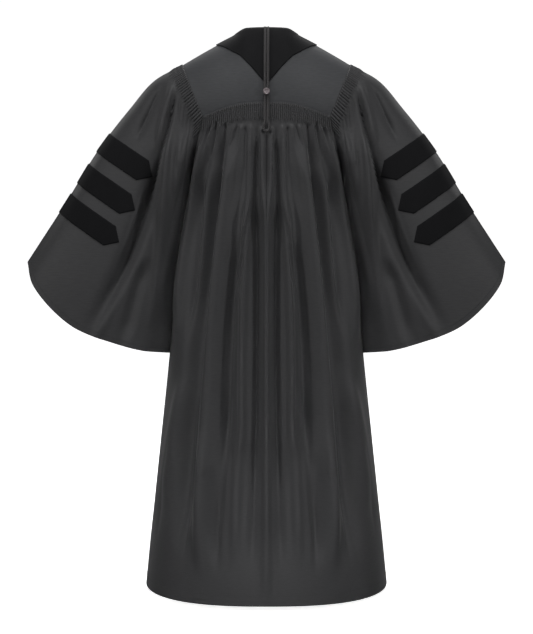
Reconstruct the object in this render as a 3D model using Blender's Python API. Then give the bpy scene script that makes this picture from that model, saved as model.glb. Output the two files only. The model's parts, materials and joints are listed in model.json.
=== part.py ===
# Graduation gown with velvet bars, filled out as it is worn, with no wearer.
# Metres. The origin is between the shoulders, where the wearer holds the gown up.
# -Y is the gown's back, +Z is up, and "right" is the +X side.
import bpy
import bmesh
import numpy as np
from mathutils import Vector

OBJECT_NAME = "graduation_gown"

# Cloth and seams
WALL = 0.0016
VELVET_WALL = 0.0018
SEAM_GAP = 0.0003
LAY_GAP = 0.0005
NECK_LAY_GAP = 0.0009
FLUTE_HEIGHT = 0.0011

# Heights
HEM_HEIGHT = -1.2735
UNDERARM_HEIGHT = -0.3185

# Neck and shoulders of the right side
NECK_HALF_WIDTH = 0.0712
NECK_BACK = -0.067
NECK_SIDE = (0.0712, -0.005, 0.0101)
NAPE_HEIGHT = 0.0203
NECK_SLOPE = (0.044, 0.076)
SHOULDER_TIP = (0.192, 0.0, -0.055)
YOKE_CORNER = (0.143, -0.095, -0.1763)
FRONT_CORNER = (0.143, 0.088, -0.1680)
UNDERARM = (0.1755, 0.0, UNDERARM_HEIGHT)
FRONT_YOKE_INNER = (0.034, 0.1115, -0.1080)
V_POINT = (0.0, 0.1215, -0.1720)

# Share of a column's travel, of one for the whole width, that the neck and the arched seam take
NECK_SHARE = 5 / 12
ARCH_SHARE = 0.665
V_SHARE = 0.16
SEAM_STEPS = 8
BAND_STEPS = 3
BAND_SHARE = V_SHARE + (ARCH_SHARE - V_SHARE) * BAND_STEPS / SEAM_STEPS

# Flutes: how many and how far down the shirred zone reaches
BACK_FLUTES = 64
FRONT_FLUTES = 10
SLEEVE_FLUTES = 28
FLUTED_DROP = (0.0, 0.034)
SLEEVE_FLUTED_DROP = (0.0, 0.050)

# Trunk: one row for each level
TRUNK_SQUARENESS = 2.5
YOKE_HOLD = 0.3
SIDE_SEAM_FLAT = 0.07
TOP_EDGE_FLAT = 0.03
TRUNK_TURN = 0.75
TRUNK_COLUMNS = "height half_width back_depth front_depth"
TRUNK_ROWS = (
    (-0.1500, 0.1720, 0.1190, 0.1180),
    (-0.3185, 0.1765, 0.1400, 0.1310),
    (-0.5878, 0.2140, 0.1620, 0.1480),
    (-0.7330, 0.2290, 0.1720, 0.1560),
    (-0.9840, 0.2570, 0.1860, 0.1700),
    (-1.1312, 0.2735, 0.1950, 0.1790),
    (-1.2735, 0.2885, 0.2060, 0.1880),
)

# Ridge of the shoulder, from the neck to the tip
SHOULDER_COLUMNS = "share x y z"
SHOULDER_ROWS = (
    (0.00, 0.0712, -0.005, 0.0101),
    (0.34, 0.1107, -0.002, -0.0095),
    (0.68, 0.1530, 0.000, -0.0325),
    (1.00, 0.1920, 0.000, -0.0550),
)

# Arched seam under the back yoke, centre to corner
ARCH_COLUMNS = "share x y z"
ARCH_ROWS = (
    (0.00, 0.0000, -0.1200, -0.1475),
    (0.27, 0.0386, -0.1195, -0.1480),
    (0.54, 0.0772, -0.1160, -0.1545),
    (0.79, 0.1130, -0.1080, -0.1660),
    (1.00, 0.1430, -0.0950, -0.1763),
)

# Seam under the front yoke, from the V edge to the corner
FRONT_SEAM_COLUMNS = "share x y z"
FRONT_SEAM_ROWS = (
    (0.00, 0.0340, 0.1115, -0.1080),
    (0.50, 0.0900, 0.1060, -0.1380),
    (1.00, 0.1430, 0.0880, -0.1680),
)

# Lower edge of the velvet neck piece, from the centre point to the shoulder ridge
NECK_V_COLUMNS = "x z"
NECK_V_ROWS = (
    (0.0000, -0.1070),
    (0.0056, -0.1020),
    (0.0347, -0.0676),
    (0.0584, -0.0433),
    (0.0981, -0.0200),
    (0.1155, -0.0125),
)

# Way out of the cloth along the armhole seam, by quarters from tip to underarm
ARMHOLE_OUT_COLUMNS = "share x y z"
ARMHOLE_OUT_ROWS = (
    (0.00, 0.45, 0.00, 0.90),
    (0.25, 0.40, -0.65, 0.62),
    (0.50, 0.25, -1.00, 0.05),
    (0.75, 0.30, -0.75, -0.55),
    (1.00, 0.10, 0.00, -1.00),
)

# Sleeve: outer edge, inner edge and hem. The hem's share runs from outer to inner edge
SLEEVE_OUTER_COLUMNS = "share x z"
SLEEVE_OUTER_ROWS = (
    (0.00, 0.1920, -0.0550),
    (0.12, 0.2550, -0.0875),
    (0.28, 0.3176, -0.1560),
    (0.48, 0.3910, -0.2490),
    (0.71, 0.4650, -0.3650),
    (1.00, 0.5616, -0.5100),
)
SLEEVE_INNER_COLUMNS = "share x z"
SLEEVE_INNER_ROWS = (
    (0.00, 0.1755, -0.3185),
    (0.12, 0.1885, -0.3600),
    (0.50, 0.2120, -0.5200),
    (1.00, 0.2350, -0.7220),
)
SLEEVE_HEM_COLUMNS = "share x depth z"
SLEEVE_HEM_ROWS = (
    (0.00, 0.5616, 0.000, -0.5100),
    (0.15, 0.5430, 0.036, -0.5620),
    (0.38, 0.4500, 0.072, -0.6530),
    (0.58, 0.3475, 0.090, -0.6920),
    (0.80, 0.2640, 0.074, -0.7140),
    (1.00, 0.2325, 0.000, -0.7220),
)
SLEEVE_FRONT_RATIO = 0.95

# Where the sleeve's underside turns in and lies along the body's side, and how clear of it
HUG_SHARE = (0.74, 0.87)
HUG_DOWN = (0.02, 0.10)
HUG_GAP = 0.0022
HUG_TURNS = np.linspace(0.62, 1.0, 24)
HUG_BLUR = 0.006

# How the corner at the side of the neck softens down the yoke
NECK_SOFT = 0.12
NECK_SOFT_DOWN = 0.25
NECK_SOFT_STEPS = (-1.0, -0.67, -0.33, 0.0, 0.33, 0.67, 1.0)

# Folds of the right half of the trunk's back: a line through three places, seen from behind.
# A height below zero is a sharper valley. Both halves have them.
FOLD_COLUMNS = "x_top z_top x_mid z_mid x_low z_low half_width height"
CENTRE_FOLD_ROWS = (
    (0.009, -0.2215, 0.009, -0.3186, 0.003, -0.4331, 0.0055, 0.0060),
    (0.000, -0.3300, 0.000, -0.7157, 0.000, -1.1446, 0.0085, 0.0110),
)
BACK_FOLD_ROWS = (
    (0.021, -0.2259, 0.026, -0.3407, 0.027, -0.4469, 0.0065, -0.0120),
    (0.024, -0.3900, 0.022, -0.6520, 0.027, -1.0120, 0.0100, -0.0150),
    (0.038, -0.2170, 0.038, -0.3208, 0.044, -0.4180, 0.0070, 0.0060),
    (0.043, -0.3700, 0.052, -0.6057, 0.054, -0.9640, 0.0090, 0.0130),
    (0.069, -0.4623, 0.083, -0.6510, 0.090, -0.9656, 0.0140, -0.0170),
    (0.076, -0.2523, 0.125, -0.7171, 0.149, -1.1835, 0.0180, 0.0160),
    (0.098, -0.2255, 0.145, -0.6690, 0.191, -1.1837, 0.0080, -0.0160),
    (0.114, -0.3185, 0.159, -0.6697, 0.204, -1.1477, 0.0140, -0.0160),
    (0.134, -0.3141, 0.148, -0.4801, 0.163, -0.6155, 0.0080, 0.0060),
    (0.149, -0.3200, 0.164, -0.5031, 0.182, -0.6709, 0.0090, -0.0140),
    (0.135, -0.2182, 0.180, -0.4338, 0.211, -0.6945, 0.0085, 0.0140),
    (0.187, -0.7709, 0.211, -0.8880, 0.240, -1.0652, 0.0160, 0.0100),
    (0.117, -0.9649, 0.117, -1.0789, 0.113, -1.1816, 0.0100, -0.0090),
)
FRONT_FOLD_ROWS = (
    (0.122, -0.2300, 0.138, -0.6200, 0.166, -1.2400, 0.0220, 0.0180),
    (0.146, -0.2700, 0.168, -0.6400, 0.206, -1.1700, 0.0120, -0.0170),
    (0.166, -0.3300, 0.194, -0.6000, 0.242, -1.1300, 0.0100, 0.0120),
)

# Folds of the right sleeve's back, seen from behind
SLEEVE_FOLD_ROWS = (
    (0.206, -0.1279, 0.241, -0.2711, 0.278, -0.3978, 0.0090, -0.0130),
    (0.254, -0.3185, 0.314, -0.4937, 0.395, -0.6496, 0.0190, -0.0190),
    (0.229, -0.2058, 0.234, -0.4314, 0.265, -0.6799, 0.0150, 0.0190),
    (0.280, -0.5180, 0.309, -0.6145, 0.328, -0.6884, 0.0150, -0.0130),
    (0.246, -0.1218, 0.266, -0.1647, 0.289, -0.2145, 0.0095, -0.0110),
    (0.213, -0.0976, 0.229, -0.1611, 0.245, -0.2329, 0.0090, 0.0110),
    (0.186, -0.2200, 0.198, -0.3850, 0.212, -0.5500, 0.0200, 0.0240),
)
SLEEVE_FRONT_FOLD_SHIFT = 0.012
SLEEVE_FOLDS_START = (0.02, 0.09)
SLEEVE_FRONT_FOLD_SCALE = 0.8

# How flat the top of a ridge is, and how round the bottom of a sharp valley is as a share of its
# half width. A valley wider than the widest is a soft one
RIDGE_POWER = 2.6
CREASE_ROUND = 0.25
CREASE_WIDEST = 0.0095

# How far a fold runs past its ends, the shares of it that it takes to rise and to fade, and the
# most that these take
FOLD_PAST = 0.03
FOLD_RISE = 0.2
FOLD_FADE = 0.3
FOLD_RISE_MOST = 0.06
FOLD_FADE_MOST = 0.16

# Short gathers just below the back's flutes
GATHERS_A_SIDE = 13
GATHER_PITCH = 0.0108
GATHER_HEIGHT = 0.0024
GATHER_START = -0.195
GATHER_LENGTH = 0.075
GATHER_FAN = 1.1
GATHER_HALF_WIDTH = 0.36 * GATHER_PITCH

# Rows of the panels, from the top edge to the hem
BACK_LEVELS = (0.052, 0.078, 0.115, 0.16, 0.215)
LOW_LEVELS = (0.28, 0.36, 0.45, 0.54, 0.64, 0.76, 0.88, 1.0)
BACK_MIDDLE_COLUMNS = 49
BACK_LOW_COLUMNS = 45
SLEEVE_LEVELS = (0.11, 0.18, 0.27, 0.37, 0.47, 0.57, 0.67, 0.78, 0.89, 1.0)

# Steps down a quarter of the armhole, which the yokes and panels share
QUARTER_STEPS = 8
SLEEVE_COLUMNS = 42
RIDGE_PARTS = (0.0, 0.10, 0.20, 0.28, 0.34, 0.375, 0.52, 0.68, 0.84, 1.0)
VELVET_RIDGE_PART = 0.375
NECK_STEPS = 7

# Velvet sleeve bars: place down the sleeve's outer edge and length from it
BAR_WIDTH = 0.0530
BAR_POINT = 0.0265
BAR_COLUMNS = "edge_x edge_z length"
BAR_ROWS = (
    (0.3775, -0.2340, 0.142),
    (0.4235, -0.3060, 0.149),
    (0.4675, -0.3740, 0.157),
)
BAR_RUN = (0.8387, -0.5446)
CUT_SNAP = 0.0006
SLEEVE_MIDDLE = Vector((0.33, 0.0, -0.42))
EDGE_RUN = (0.5446, 0.8387)

# Hood cord and button
CORD_SIDES = 6
CORD_WIDTH = 0.0062
CORD_THICKNESS = 0.0036
CORD_LIFT = 0.0056
CORD_RISES = (-0.150, -0.185)
CORD_GATHER_LIFT = 0.0024
STRAND_OFFSET = 0.0033
LOOP_OFFSET = 0.0062
CORD_TOP = 0.0195
CORD_LOOP_START = -0.176
CORD_LOOP_WIDEST = -0.203
CORD_BOTTOM = -0.2150
BUTTON_HEIGHT = -0.1237
BUTTON_RADIUS = 0.0076
BUTTON_THICKNESS = 0.0042
BUTTON_STEPS = 20
BUTTON_PROFILE = ((0.0, 0.0), (0.74, 0.0), (0.98, 0.28), (1.0, 0.55), (0.90, 0.88), (0.72, 1.0),
                  (0.62, 0.82), (0.0, 0.76))

# Step that measures which way a surface faces
SURFACE_STEP = 0.002

# Which side of a seam a piece is on, and the two sides of the gown
BODY_SIDE, SLEEVE_SIDE = 1, -1
ARCH_BELOW, ARCH_ABOVE = 1, -1
FRONT_BELOW, FRONT_ABOVE = -1, 1
RIDGE_BACK, RIDGE_FRONT = 1, -1
SIDES = (("right", False), ("left", True))
NECK_V_LEAST = 0.05

# Colours
CLOTH_COLOUR = (0.050, 0.050, 0.053, 1.0)
YOKE_COLOUR = (0.058, 0.061, 0.065, 1.0)
VELVET_COLOUR = (0.008, 0.008, 0.009, 1.0)
BAR_COLOUR = (0.007, 0.007, 0.008, 1.0)
CORD_COLOUR = (0.140, 0.115, 0.125, 1.0)
BUTTON_COLOUR = (0.150, 0.125, 0.130, 1.0)


# Small helpers
def table(columns, rows):
    """The rows of a table, by the names of its columns."""
    return dict(zip(columns.split(), np.array(rows, float).T))


def smooth(knots, values, at):
    """A smooth curve through a table's rows."""
    slopes = np.gradient(values, knots)
    at = np.asarray(at, float)
    low = np.clip(np.searchsorted(knots, at, side="right") - 1, 0, len(knots) - 2)
    span = knots[low + 1] - knots[low]
    t = (at - knots[low]) / span
    start = (1 + 2 * t) * (1 - t) ** 2 * values[low] + t * (1 - t) ** 2 * span * slopes[low]
    end = t * t * (3 - 2 * t) * values[low + 1] + t * t * (t - 1) * span * slopes[low + 1]
    return start + end


def point(x, y, z):
    return np.stack(np.broadcast_arrays(x, y, z), axis=-1).astype(float)


def unit(vectors):
    return vectors / np.maximum(np.linalg.norm(vectors, axis=-1, keepdims=True), 1e-9)


def ramp(at, start, end):
    """0 at start and 1 at end, with soft ends."""
    t = np.clip((at - start) / (end - start), 0, 1)
    return t * t * (3 - 2 * t)


def over_shoulder(share):
    """How far x, y and z have travelled on the round way down from the shoulder ridge."""
    angle = share * np.pi / 2
    down = 1 - np.cos(angle)
    return point(down, np.sin(angle), down)


# Seam lines of the right side
def shoulder_ridge(share):
    rows = table(SHOULDER_COLUMNS, SHOULDER_ROWS)
    return point(*(smooth(rows["share"], rows[axis], share) for axis in "xyz"))


def neckline(share):
    """Back neck edge, from the centre to the side of the neck."""
    angle = share * np.pi / 2
    x = NECK_HALF_WIDTH * np.sin(angle)
    y = NECK_BACK + (NECK_SIDE[1] - NECK_BACK) * (1 - np.cos(angle))
    z = NAPE_HEIGHT + (NECK_SIDE[2] - NAPE_HEIGHT) * ramp(x, *NECK_SLOPE)
    return point(x, y, z)


def arch(share):
    """Arched seam under the back yoke, from -1 at the left corner to 1 at the right."""
    rows = table(ARCH_COLUMNS, ARCH_ROWS)
    side = np.abs(share)
    x, y, z = (smooth(rows["share"], rows[axis], side) for axis in "xyz")
    return point(x * np.sign(share), y, z)


def front_seam(share):
    rows = table(FRONT_SEAM_COLUMNS, FRONT_SEAM_ROWS)
    return point(*(smooth(rows["share"], rows[axis], share) for axis in "xyz"))


def v_edge(share):
    """Lower part of the front's V, from its point to the front yoke."""
    low, high = np.array(V_POINT), np.array(FRONT_YOKE_INNER)
    return low + (high - low) * np.asarray(share, float)[..., None]


def armhole(share):
    """Right armhole: 0 at the shoulder tip, 1 at the underarm by the back, -1 by the front."""
    share = np.asarray(share, float)
    side = np.abs(share)
    tip, low = np.array(SHOULDER_TIP), np.array(UNDERARM)
    corner = np.where(share[..., None] < 0, np.array(FRONT_CORNER), np.array(YOKE_CORNER))
    upper = tip + (corner - tip) * over_shoulder(np.clip(side * 2, 0, 1))
    angle = np.clip(side * 2 - 1, 0, 1) * np.pi / 2
    travel = point(np.sin(angle), 1 - np.cos(angle), np.sin(angle))
    lower = corner + (low - corner) * travel
    return np.where(side[..., None] <= 0.5, upper, lower)


class Seam:
    """A sewn line as a chain of knots. Both of its pieces end on the same chain."""

    def __init__(self, knots, points, out):
        self.knots = np.asarray(knots, float)
        self.points = points
        self.out = unit(out)
        self.aside = unit(np.cross(np.gradient(points, axis=0), self.out))

    def at(self, share, side):
        """Places, way out of the cloth, and the step of half a seam gap to one side."""
        def pick(rows):
            return np.stack([np.interp(share, self.knots, rows[:, i]) for i in range(3)], axis=-1)
        return pick(self.points), unit(pick(self.out)), pick(self.aside) * side * SEAM_GAP / 2


def armhole_seam():
    knots = np.linspace(-1, 1, 4 * QUARTER_STEPS + 1)
    rows = table(ARMHOLE_OUT_COLUMNS, ARMHOLE_OUT_ROWS)
    x, y, z = (smooth(rows["share"], rows[axis], np.abs(knots)) for axis in "xyz")
    return Seam(knots, armhole(knots), point(x, y * np.where(knots < 0, -1, 1), z))


def arch_seam():
    knots = np.linspace(-1, 1, 25)
    return Seam(knots, arch(knots), point(0.35 * knots, -1.0, 0.12))


def shoulder_seam():
    knots = np.linspace(0, 1, 8)
    return Seam(knots, shoulder_ridge(knots), point(0.30 + 0.15 * knots, 0.0, 0.9))


def front_yoke_seam():
    knots = np.linspace(0, 1, 9)
    return Seam(knots, front_seam(knots), point(0.05 + 0.25 * knots, 1.0, 0.12))


# Folds
def fold_relief(x, z, rows):
    """Height of the folds of a table at places seen from behind."""
    relief = np.zeros_like(x)
    for fold in rows:
        row = dict(zip(FOLD_COLUMNS.split(), fold))
        heights = np.array([row["z_top"], row["z_mid"], row["z_low"]])
        places = np.array([row["x_top"], row["x_mid"], row["x_low"]])
        curve = np.polyfit(heights, places, 2)
        line = np.polyval(curve, np.clip(z, heights[2] - FOLD_PAST, heights[0] + FOLD_PAST))
        reach = heights[0] - heights[2]
        rise, fade = min(FOLD_RISE * reach, FOLD_RISE_MOST), min(FOLD_FADE * reach, FOLD_FADE_MOST)
        start = ramp(z, heights[0] + FOLD_PAST, heights[0] - rise)
        end = ramp(z, heights[2] - FOLD_PAST, heights[2] + fade)
        distance = np.abs(x - line) / row["half_width"]
        if row["height"] > 0:
            profile = np.exp(-distance ** RIDGE_POWER)
        elif row["half_width"] > CREASE_WIDEST:
            profile = np.exp(-distance ** 2)
        else:
            profile = np.exp(CREASE_ROUND - np.hypot(distance, CREASE_ROUND))
        relief = relief + row["height"] * start * end * profile
    return relief


def gather_relief(x, z):
    """Short gathers, of uneven length, that fan out below the flutes."""
    relief = np.zeros_like(x)
    for i in range(GATHERS_A_SIDE):
        start = GATHER_PITCH * (i + 0.5 + 0.22 * np.sin(2.3 * i))
        length = GATHER_LENGTH * (0.65 + 0.7 * np.sin(1.7 * i + 0.4) ** 2)
        down = np.clip(GATHER_START - z, 0, None)
        line = start * (1 + GATHER_FAN * down)
        fade = ramp(z, GATHER_START + FOLD_PAST, GATHER_START) * ramp(down, length, FOLD_RISE * length)
        relief = relief + GATHER_HEIGHT * fade * np.exp(-(((x - line) / GATHER_HALF_WIDTH) ** 2))
    return relief


# Surfaces: each takes two arrays of shares and gives places in space
def trunk(turn, z, way):
    """Section of the trunk: turn -1 to 1 goes from side to side, way is -1 at the back."""
    rows = table(TRUNK_COLUMNS, TRUNK_ROWS)
    height = rows["height"][::-1]
    width = smooth(height, rows["half_width"][::-1], z)
    depth = smooth(height, rows["back_depth" if way < 0 else "front_depth"][::-1], z)
    angle = turn * np.pi / 2
    across, along = np.sin(angle), np.cos(angle)
    power = TRUNK_SQUARENESS
    reach = (np.abs(across / width) ** power + np.abs(along / depth) ** power) ** (-1 / power)
    return point(reach * across, way * reach * along, z)


def back_top(turn):
    """Top edge of the back panel: arched seam, then down the armholes."""
    side = np.abs(turn)
    inner = arch(np.clip(turn / ARCH_SHARE, -1, 1))
    outer = armhole(0.5 + 0.5 * np.clip((side - ARCH_SHARE) / (1 - ARCH_SHARE), 0, 1))
    outer[..., 0] *= np.where(turn < 0, -1, 1)
    return np.where(side[..., None] <= ARCH_SHARE, inner, outer)


def front_top(turn):
    """Top edge of the right front panel: V, yoke seam, armhole."""
    v = v_edge(np.clip(turn / V_SHARE, 0, 1))
    seam = front_seam(np.clip((turn - V_SHARE) / (ARCH_SHARE - V_SHARE), 0, 1))
    outer = armhole(-0.5 - 0.5 * np.clip((turn - ARCH_SHARE) / (1 - ARCH_SHARE), 0, 1))
    return np.where(turn[..., None] < V_SHARE, v, np.where(turn[..., None] <= ARCH_SHARE, seam, outer))


def panel(turn, down, top, way, relief):
    """A trunk panel that hangs from its top edge and takes the trunk's form lower down."""
    edge = top(turn)
    z = edge[..., 2] + (HEM_HEIGHT - edge[..., 2]) * down
    hold = np.clip(1 - down / YOKE_HOLD, 0, 1)[..., None] ** 2
    place = trunk(turn, z, way) + (edge - trunk(turn, edge[..., 2], way)) * hold
    way_out = unit(point(place[..., 0] * TRUNK_TURN, place[..., 1], 0 * z))
    fade = ramp(1 - np.abs(turn), 0.0, SIDE_SEAM_FLAT) * ramp(down, 0.0, TOP_EDGE_FLAT)
    lift = relief(np.abs(place[..., 0]), z) * fade
    return place + way_out * lift[..., None]


def back_surface(turn, down):
    def relief(x, z):
        return fold_relief(x, z, CENTRE_FOLD_ROWS + BACK_FOLD_ROWS) + gather_relief(x, z)
    return panel(turn, down, back_top, -1, relief)


def front_surface(turn, down):
    def relief(x, z):
        return fold_relief(x, z, FRONT_FOLD_ROWS)
    return panel(turn, down, front_top, 1, relief)


def yoke_top(share):
    """Top edge of the back yoke: shoulder ridge, neck, shoulder ridge."""
    side = np.abs(share)
    neck = neckline(np.clip(side / NECK_SHARE, 0, 1))
    ridge = shoulder_ridge(np.clip((side - NECK_SHARE) / (1 - NECK_SHARE), 0, 1))
    edge = np.where(side[..., None] <= NECK_SHARE, neck, ridge)
    edge[..., 0] *= np.where(share < 0, -1, 1)
    return edge


def yoke_surface(share, down):
    """The back yoke. The corner of its top edge at the neck softens away from that edge."""
    spread = NECK_SOFT * ramp(down, 0.0, NECK_SOFT_DOWN) * ramp(1 - np.abs(share), 0.0, NECK_SOFT)
    tops = [yoke_top(np.clip(share + step * spread, -1, 1)) for step in NECK_SOFT_STEPS]
    top, low = np.mean(tops, axis=0), arch(share)
    return top + (low - top) * over_shoulder(down)


def front_yoke_surface(share, down):
    top, low = shoulder_ridge(share), front_seam(share)
    return top + (low - top) * over_shoulder(down)


def sleeve_edge(columns, rows, share):
    rows = table(columns, rows)
    x = smooth(rows["share"], rows["x"], share)
    z = smooth(rows["share"], rows["z"], share)
    straight_x = rows["x"][0] + (rows["x"][-1] - rows["x"][0]) * share
    straight_z = rows["z"][0] + (rows["z"][-1] - rows["z"][0]) * share
    return point(x - straight_x, 0.0, z - straight_z)


def sleeve_hem(share):
    rows = table(SLEEVE_HEM_COLUMNS, SLEEVE_HEM_ROWS)
    side = np.abs(share)
    x = smooth(rows["share"], rows["x"], side)
    z = smooth(rows["share"], rows["z"], side)
    depth = smooth(rows["share"], rows["depth"], side)
    return point(x, depth * np.where(share < 0, SLEEVE_FRONT_RATIO, -1.0), z)


def body_side(y, z, surface, top):
    """How far out the body's side reaches at depths and heights."""
    edge = top(HUG_TURNS)[..., 2]
    down = np.clip((z[..., None] - edge) / (HEM_HEIGHT - edge), 0, 1)
    place = surface(np.broadcast_to(HUG_TURNS, down.shape), down)
    weight = np.exp(-(((np.abs(place[..., 1]) - np.abs(y)[..., None]) / HUG_BLUR) ** 2)) + 1e-9
    return (place[..., 0] * weight).sum(axis=-1) / weight.sum(axis=-1)


def sleeve_surface(share, down):
    """Right sleeve: share goes round it as on the armhole, down from armhole to hem."""
    share = (share + 1) % 2 - 1
    inner = ((1 - np.cos(np.pi * np.abs(share))) / 2)[..., None]
    along = down[..., None]
    place = (1 - along) * armhole(share) + along * sleeve_hem(share)
    place = place + (1 - inner) * sleeve_edge(SLEEVE_OUTER_COLUMNS, SLEEVE_OUTER_ROWS, down)
    place = place + inner * sleeve_edge(SLEEVE_INNER_COLUMNS, SLEEVE_INNER_ROWS, down)
    front = share < 0
    x = place[..., 0] - np.where(front, SLEEVE_FRONT_FOLD_SHIFT, 0)
    lift = fold_relief(x, place[..., 2], SLEEVE_FOLD_ROWS)
    lift = lift * np.where(front, SLEEVE_FRONT_FOLD_SCALE, 1.0)
    lift = lift * np.sqrt(np.abs(np.sin(np.pi * share))) * ramp(down, *SLEEVE_FOLDS_START)
    place[..., 1] += lift * np.where(front, 1.0, -1.0)
    hug = ramp(np.abs(share), *HUG_SHARE) * ramp(down, *HUG_DOWN)
    back_side = body_side(place[..., 1], place[..., 2], back_surface, back_top)
    front_side = body_side(place[..., 1], place[..., 2], front_surface, front_top)
    side = np.where(front, front_side, back_side) + HUG_GAP
    place[..., 0] += (side - place[..., 0]) * hug
    return place


def way_out_of(surface, share, down, share_range, facing):
    """Unit vectors square to a surface, out of the cloth."""
    step = SURFACE_STEP
    share_low = np.maximum(share - step, share_range[0])
    share_high = np.minimum(share + step, share_range[1])
    down_low, down_high = np.maximum(down - step, 0), np.minimum(down + step, 1)
    across = surface(share_high, down) - surface(share_low, down)
    along = surface(share, down_high) - surface(share, down_low)
    return unit(np.cross(along, across)) * facing


# Walls: a row is a line of places across the cloth, with the way out at each
class Row:
    def __init__(self, share, places, out, lift=0.0):
        self.share = np.asarray(share, float)
        self.places = places
        self.out = out
        self.lift = np.broadcast_to(lift, self.share.shape)

    def moved(self, distance):
        return self.places + self.out * distance

    def pin(self, which, seam, at, side):
        """Ends the chosen places on a seam."""
        place, out, aside = seam.at(at, side)
        self.places[which] = place + aside
        self.out[which] = out


def surface_row(surface, share, down, share_range, facing, lift=0.0):
    share = np.asarray(share, float)
    level = np.full_like(share, down)
    out = way_out_of(surface, share, level, share_range, facing)
    return Row(share, surface(share, level), out, lift)


def stitch(faces, first, second, first_at, second_at):
    """Triangles between two lines of points that need not have the same count."""
    i, j = 0, 0
    while i < len(first) - 1 or j < len(second) - 1:
        more_first = i < len(first) - 1
        if more_first and (j == len(second) - 1 or first_at[i + 1] <= second_at[j + 1] + 1e-9):
            faces.append((first[i], first[i + 1], second[j]))
            i += 1
        else:
            faces.append((first[i], second[j + 1], second[j]))
            j += 1


class Wall:
    """A closed wall of cloth between outer rows and inner rows."""

    def __init__(self, around=False):
        self.points = []
        self.faces = []
        self.around = around

    def line(self, places, share):
        start = len(self.points)
        self.points.extend(tuple(place) for place in places)
        numbers = list(range(start, start + len(places)))
        share = list(share)
        if self.around:
            numbers.append(start)
            share.append(share[0] + 2)
        return numbers, share

    def skin(self, lines):
        for (first, first_at), (second, second_at) in zip(lines, lines[1:]):
            stitch(self.faces, first, second, first_at, second_at)

    def rim(self, outer, inner):
        stitch(self.faces, outer[0], inner[0], outer[1], inner[1])

    def side_rim(self, outer_lines, inner_lines, end):
        outer = [numbers[end] for numbers, share in outer_lines]
        inner = [numbers[end] for numbers, share in inner_lines]
        stitch(self.faces, outer, inner, np.linspace(0, 1, len(outer)), np.linspace(0, 1, len(inner)))

    def build(self, outer_rows, inner_rows, outer_move=0.0, inner_move=-WALL):
        outer = [self.line(row.moved(outer_move + row.lift[:, None]), row.share) for row in outer_rows]
        inner = [self.line(row.moved(inner_move), row.share) for row in inner_rows]
        self.skin(outer)
        self.skin(inner)
        self.rim(outer[0], inner[0])
        self.rim(outer[-1], inner[-1])
        if not self.around:
            self.side_rim(outer, inner, 0)
            self.side_rim(outer, inner, -1)
        return self


# Blender objects
def material(name, colour, roughness):
    cloth = bpy.data.materials.new(name)
    cloth.use_nodes = True
    shader = cloth.node_tree.nodes["Principled BSDF"]
    shader.inputs["Base Color"].default_value = colour
    shader.inputs["Roughness"].default_value = roughness
    shader.inputs["Metallic"].default_value = 0.0
    return cloth


def add_object(name, points, faces, cloth, mirrored=False):
    side = -1 if mirrored else 1
    mesh = bpy.data.meshes.new(name)
    mesh.from_pydata([(x * side, y, z) for x, y, z in points], [], faces)
    form = bmesh.new()
    form.from_mesh(mesh)
    bmesh.ops.recalc_face_normals(form, faces=form.faces)
    if form.calc_volume(signed=True) < 0:
        bmesh.ops.reverse_faces(form, faces=form.faces)
    form.to_mesh(mesh)
    form.free()
    mesh.shade_smooth()
    mesh.set_sharp_from_angle(angle=np.radians(50))
    piece = bpy.data.objects.new(name, mesh)
    piece.data.materials.append(cloth)
    bpy.data.collections[OBJECT_NAME].objects.link(piece)
    return piece


def flute_lift(share, first, last, flutes):
    """Raised and plain points in turn between two shares."""
    inside = (share >= first - 1e-9) & (share <= last + 1e-9)
    phase = (share - first) / (last - first) * flutes * 2
    return np.where(inside & (np.round(phase) % 2 == 1), FLUTE_HEIGHT, 0.0)


# Trunk panels
def pin_side(row, which, way):
    """Ends a row's place on the side seam."""
    for end in which:
        row.places[end, 1] = way * SEAM_GAP / 2
        row.out[end] = (np.sign(row.places[end, 0]), 0, 0)


def back_rows(share, downs, seams, fluted):
    rows = []
    side = np.abs(share)
    on_arch = side <= ARCH_SHARE + 1e-9
    for down in downs:
        lift = flute_lift(share, -ARCH_SHARE, ARCH_SHARE, BACK_FLUTES) if fluted else 0.0
        row = surface_row(back_surface, share, down, (-1, 1), 1, lift)
        if down == 0:
            pin_back_top(row, side, on_arch, seams)
        pin_side(row, [0, -1], -1)
        rows.append(row)
    return rows


def pin_back_top(row, side, on_arch, seams):
    """Ends the back panel's first row on the arched seam and both armholes."""
    row.pin(on_arch, seams["arch"], row.share[on_arch] / ARCH_SHARE, ARCH_BELOW)
    outer = ~on_arch
    at = 0.5 + 0.5 * (side[outer] - ARCH_SHARE) / (1 - ARCH_SHARE)
    place, out, aside = seams["armhole"].at(at, BODY_SIDE)
    flip = np.where(row.share[outer] < 0, -1, 1)[:, None] * np.array([1, 0, 0]) + np.array([0, 1, 1])
    row.places[outer] = (place + aside) * flip
    row.out[outer] = out * flip


def build_back(seams, cloth):
    outer_part = np.linspace(ARCH_SHARE, 1, QUARTER_STEPS + 1)[1:]
    fluted_part = np.linspace(-ARCH_SHARE, ARCH_SHARE, 2 * BACK_FLUTES + 1)
    plain_part = np.linspace(-ARCH_SHARE, ARCH_SHARE, BACK_MIDDLE_COLUMNS)
    fine = np.concatenate([-outer_part[::-1], fluted_part, outer_part])
    middle = np.concatenate([-outer_part[::-1], plain_part, outer_part])
    low = np.linspace(-1, 1, BACK_LOW_COLUMNS)
    outer = back_rows(fine, FLUTED_DROP, seams, True)
    outer += back_rows(middle, BACK_LEVELS, seams, False) + back_rows(low, LOW_LEVELS, seams, False)
    inner = back_rows(middle, (0.0,) + FLUTED_DROP[1:] + BACK_LEVELS, seams, False)
    inner += back_rows(low, LOW_LEVELS, seams, False)
    wall = Wall().build(outer, inner)
    add_object("back_panel", wall.points, wall.faces, cloth)


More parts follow.
